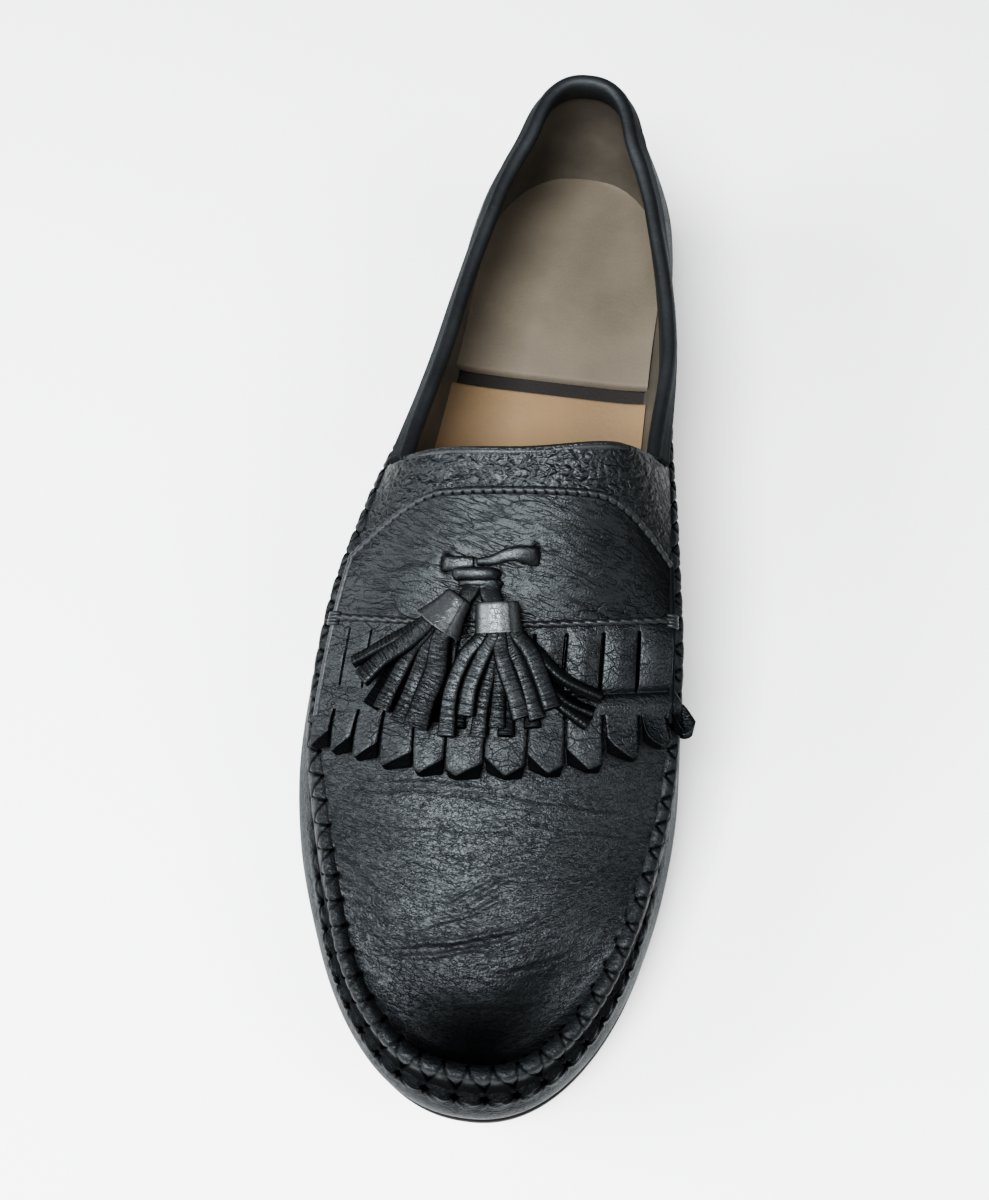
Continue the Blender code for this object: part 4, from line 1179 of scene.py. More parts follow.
def rounded(distance, radius):
    """Height share of a rounded border: a quarter circle of that radius, then level."""
    return np.sqrt(1 - (1 - np.clip(distance/radius, 0, 1))**2)


def spaced(count, edge=0.12):
    """Numbers from -1 to 1, closer together near both ends."""
    t = np.linspace(-1, 1, count)
    return (1 - edge)*np.sin(np.pi/2*t) + edge*t


def make_saddle():
    """Sheet between the saddle's two edges: its lift over the vamp is the leather's thickness, rounded
    off at the borders, plus the folds. Painted shade darkens it toward its inner end and paints the lace
    holes black."""
    share = spaced(240)[None, :]
    part = (spaced(90)[:, None] + 1)/2
    station = arc_line(share) + part*(kiltie_line(share) + 1.2 - arc_line(share))
    share = np.broadcast_to(share, station.shape)
    x = across_x(share, station)
    side = (1 - np.abs(share))*overlay_half(station)
    back = station - arc_line(share)
    lift = (OVERLAY_GAP + OVERLAY_THICK)*rounded(side, 1.1)*rounded(back, 0.9)
    lift = lift + folds(SADDLE_FOLDS, x, station)*smoothstep(side/5)*smoothstep(back/3)
    holes = sum(np.exp(-(((x - hole_x)/0.9)**2 + ((station - hole_s)/2.2)**2))
                for hole_x, hole_s in LACE_HOLES)
    grid = crown_point(x, station, lift - 1.2*holes - 0.3*(lift < 0.01))
    # Painted shade: black in the lace holes and darker toward the inner end.
    dark = np.maximum(1.3*holes - 0.2, 0.26*smoothstep((x - 6)/22))
    piece("saddle_leather", grid, "saddle", SADDLE_LEATHER, "up",
          shade=np.clip(dark, 0, 1))


make_saddle()

# %% [markdown]
# ## Piping, folded edges and tacks
# A thin cord is sewn into the seam between throat piece and saddle, and each stitch bites into it. The
# overlays' sides are folded into a bead beside the lacing, and a tack holds each lower corner. All of them
# are tubes: a circle carried along a line, with the radius changed along it.

# %% Piping and edges
CORD_SHARES = np.linspace(-1, 1, 420)     # along an overlay's edge, from outer to inner end
CORD_RING = 16
CORD_ANGLES = np.arange(CORD_RING)*2*np.pi/CORD_RING


def tube(path, radius, ring):
    """Closed round tube along a path; radius may change along it and round it."""
    ahead = unit(np.gradient(path, axis=0))
    side = unit(np.cross(ahead, np.array([0.0, 0.0, 1.0])))
    lift = np.cross(side, ahead)
    angle = np.arange(ring)*2*np.pi/ring
    radius = np.broadcast_to(radius, (len(path), ring))[..., None]
    rings = path[:, None] + radius*(np.cos(angle)[:, None]*side[:, None]
                                    + np.sin(angle)[:, None]*lift[:, None])
    ends = [np.repeat(path[i:i + 1, None], ring, 1) for i in (0, len(path) - 1)]
    return np.concatenate([ends[0], rings, ends[1]])


def cord_path(station, lift):
    """Path along an edge at CORD_SHARES, raised over the vamp, and its running length."""
    path = crown_point(across_x(CORD_SHARES, station), station, np.full(CORD_SHARES.shape, lift))
    return path, run_length(path)[:, None]


def make_piping():
    """Piping with a bite at each stitch, deepest at its sides and painted dark there as shade, and the
    folded edges of the overlays, the inner one painted darker as shade.
    """
    path, run = cord_path(arc_line(CORD_SHARES) - 0.2, 0.95)
    sway = np.cos(CORD_ANGLES)
    bite = np.clip(np.cos(2*np.pi*(run/2.7 + 0.12*sway)), 0, 1)**2*np.abs(sway)**0.7
    rings = tube(path, 1.1 - 0.28*bite, CORD_RING)
    # Painted shade in the stitch bites.
    shade = np.concatenate([bite[:1]*0, 0.75*bite, bite[:1]*0])
    piece("saddle_piping", rings, "saddle", EDGE_LEATHER, wrap=True, poles=True,
          shade=shade)
    for side, word in ((-1, "outer"), (1, "inner")):
        station = np.linspace(arc_line(np.float64(side)) - 1, fringe_line(np.float64(side)) - 7, 160)
        lift = np.where(station < kiltie_line(side), OVERLAY_GAP, fringe_lift(side, station)) + 1.0
        path = crown_point(across_x(side*0.992, station), station, lift)
        # Painted shade on the inner folded edge; the outer one has none.
        piece("folded_edge_" + word, tube(path, 0.95, 12), "saddle", EDGE_LEATHER,
              wrap=True, poles=True, shade=0.35 + 0.35*side)


def make_tacks():
    """Short stitches side by side across each lower corner of the saddle."""
    part = np.linspace(0, 1, 13)
    paths, sides = [], []
    for side in (-1, 1):
        for shift in (-1.2, -0.4, 0.4, 1.2):
            station = kiltie_line(np.float64(side)) + 0.8 + shift + 0*part
            share = side*(1.02 - 0.06*part)
            lift = 1.4 + 1.1*np.sin(np.pi*part)**0.5
            path = crown_point(across_x(share, station), station, lift)
            paths.append(path)
            sides.append(np.cross(crown_normal(path[:, 0], path[:, 1]), np.gradient(path, axis=0)))
    rings = strand(np.array(paths), np.array(sides), 0.55, 0.5, 1.0, 10)
    piece("corner_tacks", rings, "saddle", EDGE_LEATHER, wrap=True, poles=True)


make_piping()
make_tacks()

# %% [markdown]
# ## Kiltie
# The kiltie is a fringed flap. Its upper part is slit into pillowy strips, a plain band follows, and the
# free edge is cut into twelve tongues that stand off the vamp. The flap is one sheet with grooves for the
# slits; the tongues are closed grids, because their cut edges and undersides show.

# %% Kiltie
SLIT_PLACES = (-0.88, -0.745, -0.59, -0.42, -0.23, -0.02, 0.2, 0.38, 0.59, 0.795)
SLIT_START, SLIT_END = 3.0, 16.8
CUT_STARTS = (-1.0, -0.88, -0.735, -0.59, -0.42, -0.23, -0.02, 0.213, 0.41, 0.61, 0.81, 0.95, 1.09)
CUT_ENDS = (-1.03, -0.905, -0.775, -0.62, -0.42, -0.24, -0.02, 0.217, 0.43, 0.64, 0.83, 0.99, 1.16)
TONGUE_TIPS = (-0.9, -0.9, -0.75, -0.8, -0.63, -0.44, 0.08, 0.18, 0.3, 0.6, 0.4, 0.3)
TONGUE_REACH = (0.3, 0.3, 0.4, 1.2, 1.8, 1.9, 1.4, 1.0, 0.7, -1.2, -2.8, -3.6)
TONGUE_CURL = (0.3, 0.2, 0.4, 0.1, 0.3, 0.0, 0.2, 0.4, 0.2, 0.8, 1.6, 2.6)
TONGUE_SLANT = 9*(1.0,) + (0.8, 0.45, 0.4)     # how far a tongue's end is slanted, the rest is round
TONGUE_POINT, TONGUE_ROUND = 4.2, 4.5     # height of a slanted and of a round end
TONGUE_BEVEL = 1.0                        # how far its lower edge reaches beyond


def cut_line(share):
    """Station where the cuts between the tongues begin."""
    return 201.5 - 5*share - 3*share**2


def make_flap():
    """Sheet from the saddle to the tongues. Slits are narrow troughs with puffed strips between them, a
    groove and a low band follow, and the inner end flares out. All of it is fuller on the inner side. The
    slits are painted dark as their shade, less on the outer side."""
    share = np.linspace(-1, 1, 560)[None, :]
    part = np.linspace(0, 1, 120)[:, None]
    station = kiltie_line(share) + part*(cut_line(share) + 2.5 - kiltie_line(share))
    side = (1 - np.abs(share))*overlay_half(station)
    flare = smoothstep((part - 0.6)/0.4)*smoothstep((share - 0.8)/0.2)
    share = share + 0.1*flare
    down = station - kiltie_line(share)
    open_side = smoothstep((share + 0.3)/0.7)
    zone = smoothstep((down - SLIT_START + 0.4)/0.8)*smoothstep((SLIT_END + 0.4 - down)/0.8)
    off = np.min(np.abs(share[..., None] - np.array(SLIT_PLACES)), axis=-1)*overlay_half(station)
    # Painted shade in the slits, weaker on the outer side.
    slit = np.exp(-(off/(0.2 + 0.1*open_side))**4)*zone*(0.4 + 0.6*open_side)
    length = np.clip((down - 1)/(SLIT_END - 0.5), 0, 1)
    pillow = np.sqrt(np.clip(off/4.2, 0, 1))*np.sin(np.pi*length)**0.7
    groove = np.exp(-((down - SLIT_END - 0.4)/0.7)**2)
    band = np.exp(-((down - SLIT_END - 3.6)/2.2)**2)
    puff = (0.35 + 0.85*open_side)*pillow + (0.1 + 0.45*open_side)*(0.8*band - groove)
    top = fringe_lift(np.clip(share, -1, 1), station) + OVERLAY_THICK + puff
    top = top*np.maximum(rounded(side, 1.0), 0.8*flare)
    grid = crown_point(across_x(share, station), station, top*(1 - slit) - 0.2*slit)
    piece("kiltie_flap", grid, "kiltie", KILTIE_LEATHER, "up", shade=slit)


def make_tongues():
    """Closed tongues: upper and lower rows of points across each one. The lower edge reaches past the
    upper one, so that the slanted cut at the end shows as a wedge, painted dark both as the dark raw cut
    and as shade. The undersides are painted dark as their shade."""
    across = np.array([-1.0, -0.97, -0.8, -0.6, -0.4, -0.2, 0.0, 0.2, 0.4, 0.6, 0.8, 0.97, 1.0])
    b = np.concatenate([across, across[::-1]])[None, None, :]
    half = len(across)
    upper = np.concatenate([np.ones(half), np.zeros(half)])[None, None, :]
    part = np.linspace(0, 1, 22)[None, :, None]
    starts, ends = np.array(CUT_STARTS)[:, None, None], np.array(CUT_ENDS)[:, None, None]
    place = (b + 1)/2
    share = ((1 - part)*(starts[:-1] + place*np.diff(starts, axis=0))
             + part*(ends[:-1] + place*np.diff(ends, axis=0)))
    share = share - (0.004 + 0.014*(1 - upper))*b
    rows = (TONGUE_TIPS, TONGUE_REACH, TONGUE_CURL, TONGUE_SLANT)
    tip, reach, curl, slant = (np.array(row)[:, None, None] for row in rows)
    point = slant*TONGUE_POINT*np.abs(b - tip)/(1 + np.abs(tip))
    point = point + (1 - slant)*TONGUE_ROUND*b**4
    middle = (ends[:-1] + ends[1:])/2
    finish = fringe_line(middle) + reach - np.where(upper > 0, point, 0.3*point - TONGUE_BEVEL)
    first = cut_line(share)
    station = first + part*(finish - first)
    number = np.arange(len(TONGUE_TIPS))[:, None, None]
    lift = fringe_lift(np.clip(share, -1, 1), station) + (curl - 0.5*b*b)*part**2
    lift = lift + upper*OVERLAY_THICK - 0.25*(np.abs(b) > 0.99)*upper
    lift = lift + 0.3*np.sin(2.4*number + 1)*b*part
    lift = lift - 0.5*(1 - upper)*part**4
    grid = crown_point(across_x(share, station), station, lift)
    closing = grid[:, -1:]
    facing = np.concatenate([closing[:, :, :half - 1:-1], closing[:, :, half - 1::-1]], 2)
    lip = closing + 0.07*(facing - closing)
    fold = (closing + facing)/2
    base = np.repeat(grid[:, :1].mean(2, keepdims=True), 2*half, 2)
    whole = np.concatenate([base, grid, lip, fold], 1)
    # Painted shade on the undersides, and on the cut ends both as shade and as the dark raw cut.
    under = np.broadcast_to(0.9*(1 - upper), grid.shape[:3])
    dark = np.full((len(grid), 2, 2*half), 0.7)
    shade = np.concatenate([under[:, :1], under, dark], 1)
    piece("kiltie_tongues", whole, "kiltie", KILTIE_LEATHER, wrap=True, shade=shade)


def make_rope():
    """Twisted cord along the edge between saddle and kiltie: its radius changes round it, and the
    pattern turns along it. Its grooves are painted darker as shade."""
    path, run = cord_path(kiltie_line(CORD_SHARES) + 0.3, OVERLAY_GAP + OVERLAY_THICK + 0.25)
    twist = np.abs(np.cos(CORD_ANGLES - np.pi*run/3.1))
    rings = tube(path, 0.7 + 0.28*twist, CORD_RING)
    # Painted shade in the grooves of the twist.
    shade = np.clip(0.4 - 2*twist, 0, 1)
    shade = np.concatenate([shade[:1], shade, shade[-1:]])
    piece("kiltie_rope_edge", rings, "kiltie", EDGE_LEATHER, wrap=True, poles=True,
          shade=shade)


make_flap()
make_tongues()
make_rope()

# %% [markdown]
# ## Tassels
# Each tassel is a roll of slit leather in a cap. Its strips are ribbons, placed by a table in the tassel's
# own directions: across and along from the cap's mouth. They leave the cap, bend over its lip and lie on
# the kiltie, upper strips over lower ones. Two sine waves of unlike length wrinkle them across.

# %% Tassels
CAP_FLAT = 0.84
STRIP_POINTS = 4          # each strip: four places (x, station), then layer, width and roll
STRIP_STEPS, STRIP_RING = 100, 16
# Each tassel: top of its cap, angle, length and radii of the cap, the power of its superellipse, how far
# it is darkened by painted shade (dim), and its strips.
TASSELS = {
    "tassel_medial": {
        "head": (-0.7, 177.2), "aim": 11.0, "length": 7.4, "radius": (5.6, 6.1), "power": 2.0, "dim": 0.0,
        "strips": (
        (-3.5, 185.7, -7.2, 191.5, -9.3, 200.0, -8.6, 211.0, 1.2, 3.7, 0.1),
        (-2.0, 187.0, -5.5, 194.0, -7.0, 202.0, -6.8, 208.5, 0.0, 3.4, 0.0),
        (-0.4, 185.4, -2.4, 190.3, -4.4, 198.0, -4.6, 205.4, 2.0, 3.5, 0.15),
        (0.2, 187.0, -0.5, 193.5, -1.2, 201.4, -1.0, 210.2, 0.6, 3.4, 0.1),
        (1.6, 187.5, 2.2, 195.6, 2.9, 201.9, 3.2, 207.3, 0.4, 3.6, 0.0),
        (2.6, 188.0, 4.2, 196.0, 5.2, 203.0, 5.8, 209.0, 0.0, 3.4, 0.0),
        (1.3, 186.5, 2.8, 191.2, 6.0, 197.4, 9.1, 204.0, 1.7, 4.0, -0.1),
        (3.2, 185.9, 5.6, 189.2, 8.8, 195.0, 12.9, 203.8, 1.3, 3.5, -0.1),
        (3.5, 187.0, 7.0, 193.0, 10.5, 199.0, 12.0, 206.0, 0.0, 3.4, 0.0),
        (5.1, 184.3, 8.8, 187.8, 12.5, 193.8, 16.0, 200.6, 2.0, 3.9, -0.3),
        (6.5, 186.0, 11.5, 191.5, 17.5, 198.5, 25.4, 202.6, 0.3, 3.3, -0.3),
        (6.0, 184.4, 10.4, 187.6, 18.0, 193.0, 27.6, 195.8, 0.8, 3.2, -0.9),
        (6.0, 185.5, 13.0, 193.5, 19.4, 198.1, 26.4, 200.0, 0.2, 3.0, -0.7))},
    "tassel_lateral": {
        "head": (-9.9, 176.9), "aim": -30.0, "length": 8.8, "radius": (3.8, 7.0), "power": 1.6, "dim": 0.36,
        "strips": (
        (-18.6, 184.2, -24.5, 188.0, -30.0, 191.4, -35.2, 194.6, 1.2, 3.2, 0.8),
        (-17.6, 185.4, -21.9, 189.3, -27.3, 193.4, -31.8, 198.6, 2.0, 4.2, 0.2),
        (-17.5, 186.5, -22.5, 191.8, -26.6, 198.8, -29.4, 205.2, 0.2, 3.3, 0.1),
        (-16.8, 186.3, -20.6, 191.0, -23.6, 198.6, -25.5, 205.8, 1.4, 3.7, 0.1),
        (-16.0, 187.5, -19.0, 193.5, -21.8, 200.0, -23.2, 206.3, 0.0, 3.4, 0.0),
        (-15.4, 187.0, -17.6, 194.0, -19.3, 200.6, -20.9, 208.6, 1.2, 3.7, 0.0),
        (-14.5, 188.0, -16.0, 195.0, -17.5, 202.0, -18.5, 207.5, 0.0, 3.4, 0.0),
        (-13.2, 187.8, -13.6, 195.3, -15.2, 201.9, -16.2, 209.6, 1.8, 5.2, -0.1),
        (-12.5, 187.5, -12.4, 195.0, -13.0, 202.0, -13.2, 207.5, 0.0, 3.4, 0.0))}}


def tassel_frame(name):
    """Cap top, forward and sideways directions in plan, and the height of the cap's axis."""
    place = TASSELS[name]
    aim = np.radians(place["aim"])
    ahead = np.array([np.sin(aim), np.cos(aim)])
    across = np.array([np.cos(aim), -np.sin(aim)])
    return np.array(place["head"]), ahead, across, 0.9 + CAP_FLAT*place["radius"][1]


def over_flap(plan, lift):
    """Place over the saddle or kiltie: lift above their top."""
    return crown_point(plan[..., 0], plan[..., 1], roof(plan[..., 0], plan[..., 1]) + lift)


def make_cap(name):
    """Rings along the cap: superellipses, a round one for a rolled cap and a pointed one for a folded
    cap. Its rim and its sides are painted darker as shade, and so is all of it by its dim; the line of its
    lap is a dark joint."""
    head, ahead, across, middle = tassel_frame(name)
    place = TASSELS[name]
    part = np.concatenate([[0.0, 0.0, 0.02, 0.05], np.linspace(0.1, 0.93, 16),
                           [0.97, 0.99, 1.0, 1.0, 0.8]])
    swell = np.concatenate([[0.0, 0.75, 0.92, 0.98], np.ones(16), [1.02, 1.0, 0.96, 0.86, 0.8]])
    low, high = place["radius"]
    radius = (low + (high - low)*part**1.4)*swell
    plan = head + part[:, None]*place["length"]*ahead
    axis = over_flap(plan, np.full(len(part), middle))
    up = unit(over_flap(plan, np.full(len(part), middle + 1.0)) - axis)
    angle = np.linspace(0, 2*np.pi, 65)[:-1]
    power = place["power"]
    shape = (np.abs(np.cos(angle))**power + np.abs(np.sin(angle))**power)**(-1/power)
    lap = 0.2*smoothstep((np.cos(angle - 1.05) - 0.85)/0.12)
    size = radius[:, None]*shape + lap*(radius[:, None] > 1)
    rings = (axis[:, None] + (size*np.cos(angle))[..., None]*np.append(across, 0.0)
             + CAP_FLAT*(size*np.sin(angle))[..., None]*up[:, None])
    # Painted shade on the rim and the sides, and over the whole cap by its dim; the lap line is a dark
    # joint.
    rim = np.where(np.arange(len(part)) > len(part) - 3, 0.9, 0.0)[:, None]
    seam = np.maximum(0.7*np.exp(-((angle - 0.95)/0.06)**2), 0.4*place["dim"])
    shade = np.maximum(rim, np.maximum(0.5*smoothstep((np.abs(np.cos(angle)) - 0.6)/0.45), seam))
    piece(name + "_cap", rings, name, CAP_LEATHER, wrap=True, poles=True, shade=shade)


def smooth_path(points, count):
    """Curve through a few points: a cubic with the points' own slopes, in equal parts."""
    points = np.asarray(points, float)
    slope = np.gradient(points, axis=-2)
    place = np.linspace(0, points.shape[-2] - 1, count)
    i = np.clip(place.astype(int), 0, points.shape[-2] - 2)
    t = (place - i)[:, None]
    return cubic(t, points[..., i, :], slope[..., i, :], points[..., i + 1, :], slope[..., i + 1, :])


def make_strips(name):
    """Ribbons from inside the cap's mouth through their four places: each starts at the lip's height, comes
    down to its layer over the flap, rolls along its length and is wrinkled by two waves. Painted shade
    darkens the lower layers, the long edges and the cut ends, and the whole tassel by its dim."""
    head, ahead, across, middle = tassel_frame(name)
    table = np.array(TASSELS[name]["strips"])
    spots = table[:, :2*STRIP_POINTS].reshape(-1, STRIP_POINTS, 2)
    layer, width, roll = (table[:, 2*STRIP_POINTS + i, None] for i in range(3))
    mouth = head + TASSELS[name]["length"]*ahead
    aside = np.sum((spots[:, 0] - mouth)*across, axis=-1)[:, None]
    root = mouth - 4.0*ahead + 0.6*aside*across
    plan = smooth_path(np.concatenate([root[:, None], spots], 1), STRIP_STEPS)
    t = np.linspace(0, 1, STRIP_STEPS)[None, :]
    rest = 1.3 + 1.9*layer
    lip = middle - 2.0 + 1.7*layer - 0.1*aside**2
    wave = 0.35*np.sin(9*t + 5*layer + 3*width)*smoothstep((t - 0.3)/0.2)
    path = over_flap(plan, rest + (lip - rest)*(1 - smoothstep((t - 0.1)/0.5)) + wave)
    heading = unit(np.gradient(plan, axis=1))
    flat = np.stack([heading[..., 1], -heading[..., 0], 0*heading[..., 0]], -1)
    up = crown_normal(plan[..., 0], plan[..., 1])
    turn = (1.2*roll*t)[..., None]
    side = flat*np.cos(turn) + up*np.sin(turn)
    half = width/2*(0.9 + 0.26*smoothstep(t*1.5) + 0.16*smoothstep((t - 0.8)/0.2))
    phase = 7*layer + 5*width
    run = 34*t
    wrinkle = 0.5*np.sin(4.3*run + phase) + 0.5*np.sin(6.7*run + 2*phase + 1.5*np.sin(0.9*run))
    thick = 1.25 + 0.2*smoothstep((t - 0.8)/0.2) + 0.075*wrinkle*smoothstep((t - 0.15)/0.15)
    rings = strand(path, side, half + 0.04*wrinkle, thick, 0.66, STRIP_RING)
    # Painted shade: lower layers lie under upper ones, the long edges stand between strips, and the cut
    # ends are darkest.
    dim = TASSELS[name]["dim"] + 0.5*np.clip(1 - layer/1.2, 0, 1)
    edges = 0.8*np.abs(np.cos(np.arange(STRIP_RING)*2*np.pi/STRIP_RING))**6
    dark = np.repeat(dim, rings.shape[1], axis=1)
    dark[:, -2:] = 0.9
    piece(name + "_strips", rings, name, TASSEL_LEATHER, wrap=True, poles=True,
          shade=np.maximum(dark[..., None], edges))


for tassel in TASSELS:
    make_cap(tassel)
    make_strips(tassel)

# %% [markdown]
# ## Tassel lace
# The lace comes up through one hole, lies across the saddle and goes down the other. Round it sits a
# rolled loop from which both tassels hang. Each run is a flat ribbon on its own short path, because the
# lace narrows where it is pinched.

# %% Tassel lace
LACE_RUNS = (
    # points as (x, station, lift), then half width at start and end, half thickness
    (((7.8, 165.6, -0.9), (6.6, 165.7, 1.3), (3.4, 165.5, 2.2), (0.0, 166.2, 2.3), (-3.5, 167.8, 2.0),
      (-7.5, 168.7, 1.2)), 2.8, 1.0, 0.8),
    (((-16.4, 169.7, -0.9), (-15.2, 169.7, 0.8), (-13.0, 169.5, 1.3), (-10.5, 169.2, 1.3),
      (-8.5, 169.0, 1.0)), 2.2, 1.6, 0.7),
    (((-12.2, 172.1, 0.8), (-11.3, 171.8, 2.9), (-7.5, 171.3, 3.7), (-3.6, 171.0, 3.2), (-2.3, 171.2, 0.8)),
     1.7, 1.7, 1.4),
    (((-11.0, 174.0, 0.6), (-9.8, 173.8, 2.0), (-6.0, 173.3, 2.4), (-2.0, 173.0, 1.9), (-1.0, 173.2, 0.6)),
     1.0, 1.0, 0.9),
    (((-5.0, 172.0, 1.6), (-3.5, 174.1, 2.2), (-2.9, 175.9, 3.2), (-1.6, 178.0, 4.6), (-0.8, 179.5, 5.0)),
     2.7, 2.7, 1.2),
    (((-7.4, 172.5, 1.4), (-7.8, 174.6, 2.2), (-8.6, 176.6, 3.2), (-10.2, 179.4, 4.2), (-11.4, 180.8, 4.4)),
     2.3, 2.0, 1.1))


def make_lace(steps=26):
    """Ribbons along the runs, flat on the leather below them."""
    paths, sides, widths, thicks = [], [], [], []
    for points, start, end, thick in LACE_RUNS:
        route = smooth_path(points, steps)
        path = over_flap(route[:, :2], route[:, 2])
        normal = crown_normal(route[:, 0], route[:, 1])
        paths.append(path)
        sides.append(np.cross(normal, np.gradient(path, axis=0)))
        widths.append(np.linspace(start, end, steps))
        thicks.append(np.full(steps, thick))
    rings = strand(np.array(paths), np.array(sides), np.array(widths), np.array(thicks), 0.75, 14)
    piece("tassel_lace_runs", rings, "tassel_lace", LACE_LEATHER, wrap=True, poles=True)


make_lace()

# %% [markdown]
# ## Inside: heel pad, bar and sock
# A taupe pad, painted darker as the shadow a shoe tree would cast, covers the heel, a dark sheet lies lower
# in front of it, and a tan sock lies under the forefoot. Each is a sheet across the shoe between the
# insole's two edges, drawn to a point at its rounded end, with a soft edge where it stops.

# %% Insole
def plain_finish(name, colour, vary, size, gloss, relief, painted=0.0):
    """Matt finish: a slow and a fast noise vary its tone, roughness and bump. painted is a share of black
    metal: painted shade that takes away the sheen a black edge would show at a low angle."""
    material, tree, shader = new_material(name)
    source = add(tree, "ShaderNodeTexCoord").outputs["Object"]
    patina = use_group(tree, PATINA, {"Vector": source})
    fine = noise(tree, source, 1000/size, 5.0)["Fac"]
    both = weighted(tree, ((patina["Tone"], 0.6), (fine, 0.4)))
    low, high = (tuple(c*k for c in colour) for k in (1 - vary, 1 + vary))
    tree.links.new(mixed(tree, both, low, high), shader.inputs["Base Color"])
    tree.links.new(remap(tree, both, 0.0, 1.0, *gloss), shader.inputs["Roughness"])
    bump = add(tree, "ShaderNodeBump", {"Height": fine, "Distance": relief/1000})
    tree.links.new(bump.outputs[0], shader.inputs["Normal"])
    # Painted shade: a black metal share takes away the low-angle reflection.
    shader.inputs["Metallic"].default_value = painted
    return material


# The taupe pad is painted darker, as the shadow a shoe tree would cast over the heel.
PAD_LEATHER = plain_finish("heel_pad_suede", (0.145, 0.124, 0.096), 0.15, 0.8, (0.7, 0.9), 0.12)
SOCK_LEATHER = plain_finish("sock_tan_leather", (0.2, 0.132, 0.07), 0.15, 1.2, (0.55, 0.75), 0.1)
# Dark sheet that shows lower down between pad and sock.
BAR_LEATHER = plain_finish("insole_dark_bar", (0.014, 0.012, 0.0105), 0.2, 1.0, (0.6, 0.8), 0.1)


def sheet_across(inset, start, end, rows, columns, rise):
    """Grid between the two edges of the sole from station start to end: straight across, on the sole's
    own curve plus a rise that may depend on place. Ends beyond the shoe are cut to its length."""
    outer, inner = two_halves(inset_points(SEAM_TURNS, inset, 0.0))
    low, high = max(start, outer[0, 1]), min(end, outer[-1, 1])
    t = (1 - np.cos(np.pi*np.linspace(0, 1, rows)))/2
    station = (low + (high - low)*t)[:, None]
    left = np.interp(station, outer[:, 1], outer[:, 0])
    right = np.interp(station, inner[:, 1], inner[:, 0])
    across = spaced(columns, 0.3)[None, :]
    x = (left + right)/2 + across*(right - left)/2
    station = np.broadcast_to(station, x.shape)
    return np.stack([x, station, sole_bottom(station) + rise(x, station, across)], -1)


def make_insole():
    """Pad and sock with soft front and back edges, turned up a little at the sides, and the bar between."""
    base, inset = SOLE_THICK + INSOLE_THICK, INSOLE_INSET - 2.0

    def soft_sheet(name, depth, start, end, rows, material):
        """Sheet whose edges at start and end are quarter circles."""
        def rise(x, station, across):
            ends = rounded(np.minimum(station - start, end - station) + 0.02, 1.2)
            return base - 1.2 + depth*ends + 1.2*np.abs(across)**6
        sheet = sheet_across(inset, start, end, rows, 50, rise)
        piece(name, sheet, "insole", material, "up")

    soft_sheet("heel_pad", 2.6, -9, 81, 120, PAD_LEATHER)
    soft_sheet("fore_sock", 2.0, 85.4, 400, 160, SOCK_LEATHER)
    bar = sheet_across(inset, 70, 96, 20, 20, lambda x, station, across: base - 0.9 + 0*x)
    piece("insole_bar", bar, "insole", BAR_LEATHER, "up")


make_insole()

# %% [markdown]
# ## Outsole and heel
# The outsole is a thin leather sole with a black painted edge and a tan tread. The heel is a stack of
# leather lifts, painted black, whose joints show as fine lines, on a rubber top piece. Edges are profiles
# carried round the outline; the flat undersides are sheets across it.

# %% Sole and heel
# Sole edge, heel stack and rubber lift get painted shade through their black metal share, which takes away
# their sheen at a low angle.
SOLE_EDGE = plain_finish("sole_painted_edge", (0.008, 0.008, 0.009), 0.25, 1.5, (0.6, 0.8), 0.1, 0.6)
SOLE_TREAD = plain_finish("sole_tan_tread", (0.33, 0.20, 0.10), 0.3, 1.4, (0.55, 0.8), 0.15)
HEEL_STACK = plain_finish("heel_painted_stack", (0.011, 0.011, 0.012), 0.25, 1.2, (0.36, 0.54), 0.08, 0.4)
HEEL_RUBBER = plain_finish("heel_rubber_lift", (0.016, 0.016, 0.017), 0.2, 0.9, (0.7, 0.9), 0.15, 0.3)
SOLE_PROFILE = ((7.0, 1.0), (0.9, 1.0), (0.35, 0.95), (0.05, 0.82), (0.0, 0.65), (0.0, 0.3), (0.2, 0.12),
                (0.6, 0.03), (1.0, 0.0), (2.5, 0.0))


def make_outsole():
    """Edge profile, as inset and share of the thickness, carried round the outline, and the tread."""
    turns = np.linspace(0, 2*np.pi, 721)[:-1]
    rows = []
    for inset, share in SOLE_PROFILE:
        ring = inset_points(turns, inset, 0.0)
        ring[:, 2] = sole_bottom(ring[:, 1]) + share*SOLE_THICK
        rows.append(ring)
    piece("sole_edge", np.array(rows), "outsole", SOLE_EDGE, "out", wrap=True)
    tread = sheet_across(1.8, -9, 400, 200, 40, lambda x, station, across: 0.0*x)
    piece("sole_tread", tread, "outsole", SOLE_TREAD, "down")


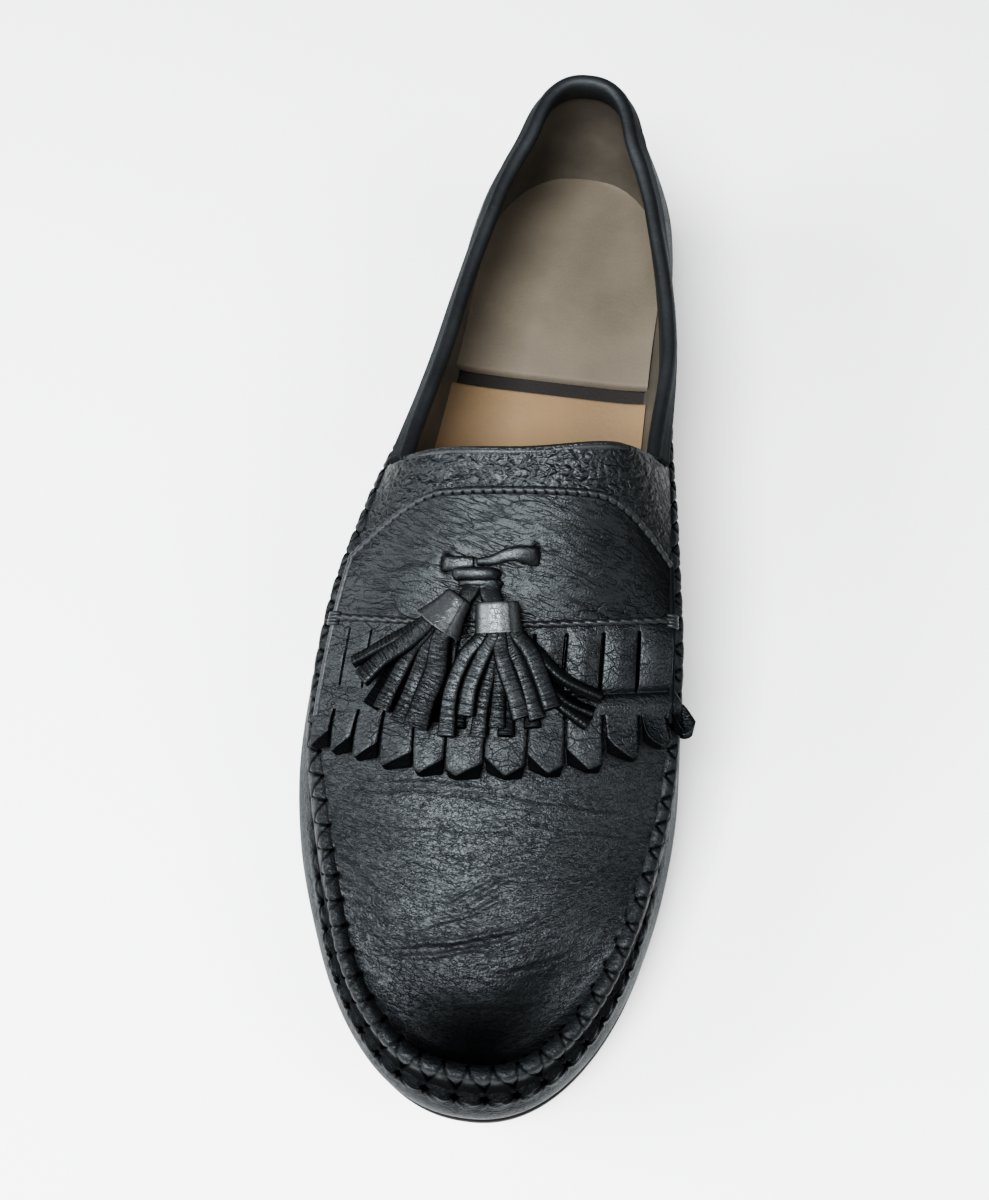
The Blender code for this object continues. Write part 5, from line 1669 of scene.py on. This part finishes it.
def heel_ring(count=70, front=24):
    """Outline of the heel: the outsole's rounded back, drawn in a little, and a straight breast."""
    angle = np.linspace(0, np.pi/2, count)
    station = HEEL_INSET + (HEEL_LENGTH - HEEL_INSET)*(1 - np.cos(angle))
    reach = LENGTH/(LENGTH + 2*HEEL_INSET)
    half = OUTLINE.at("half_width", station)*end_rounding((station - HEEL_INSET)*reach)
    half = half*(1 - HEEL_INSET/OUTLINE.rows[0, 2])
    axis = OUTLINE.at("axis", station)
    outer = np.stack([axis - half, station], 1)
    inner = np.stack([axis + half, station], 1)
    breast = outer[-1] + np.linspace(0, 1, front)[1:-1, None]*(inner[-1] - outer[-1])
    return np.concatenate([outer, breast, inner[:0:-1]]), outer, inner


def make_heel():
    """Heel as levels of its outline: a tapering stack with two fine joints, and the rubber lift."""
    ring, outer, inner = heel_ring()
    middle = np.array([OUTLINE.rows[0, 1], HEEL_LENGTH/2])

    def level(height, taper):
        """The heel's outline at a height, drawn in about its middle."""
        plan = middle + (ring - middle)*taper
        return np.column_stack([plan, np.broadcast_to(height, len(plan))])

    top = sole_bottom(ring[:, 1]) + 0.05
    rows = []
    for part in np.linspace(0, 1, 46):
        joint = np.exp(-((part*3 - np.round(part*3))/0.05)**2)*(0.02 < part < 0.98)
        height = LIFT_THICK + 0.05 + part*(top - LIFT_THICK - 0.05)
        rows.append(level(height, 0.975 + 0.025*part - 0.006*joint))
    piece("heel_stack", np.array(rows), "heel", HEEL_STACK, "out", wrap=True)
    edge = ((0.0, 0.955), (0.25, 0.965), (1.0, 0.972), (5.4, 0.976), (5.8, 0.974), (6.05, 0.966))
    piece("heel_lift_edge", np.array([level(height, taper) for height, taper in edge]), "heel_lift",
          HEEL_RUBBER, "out", wrap=True)
    share = np.linspace(0, 1, 40)[None, :, None]
    plan = middle + (outer[:, None] + share*(inner - outer)[:, None] - middle)*0.9552
    bottom = np.concatenate([plan, np.zeros(plan.shape[:2])[..., None]], -1)
    piece("heel_lift_face", bottom, "heel_lift", HEEL_RUBBER, "down")


make_outsole()
make_heel()
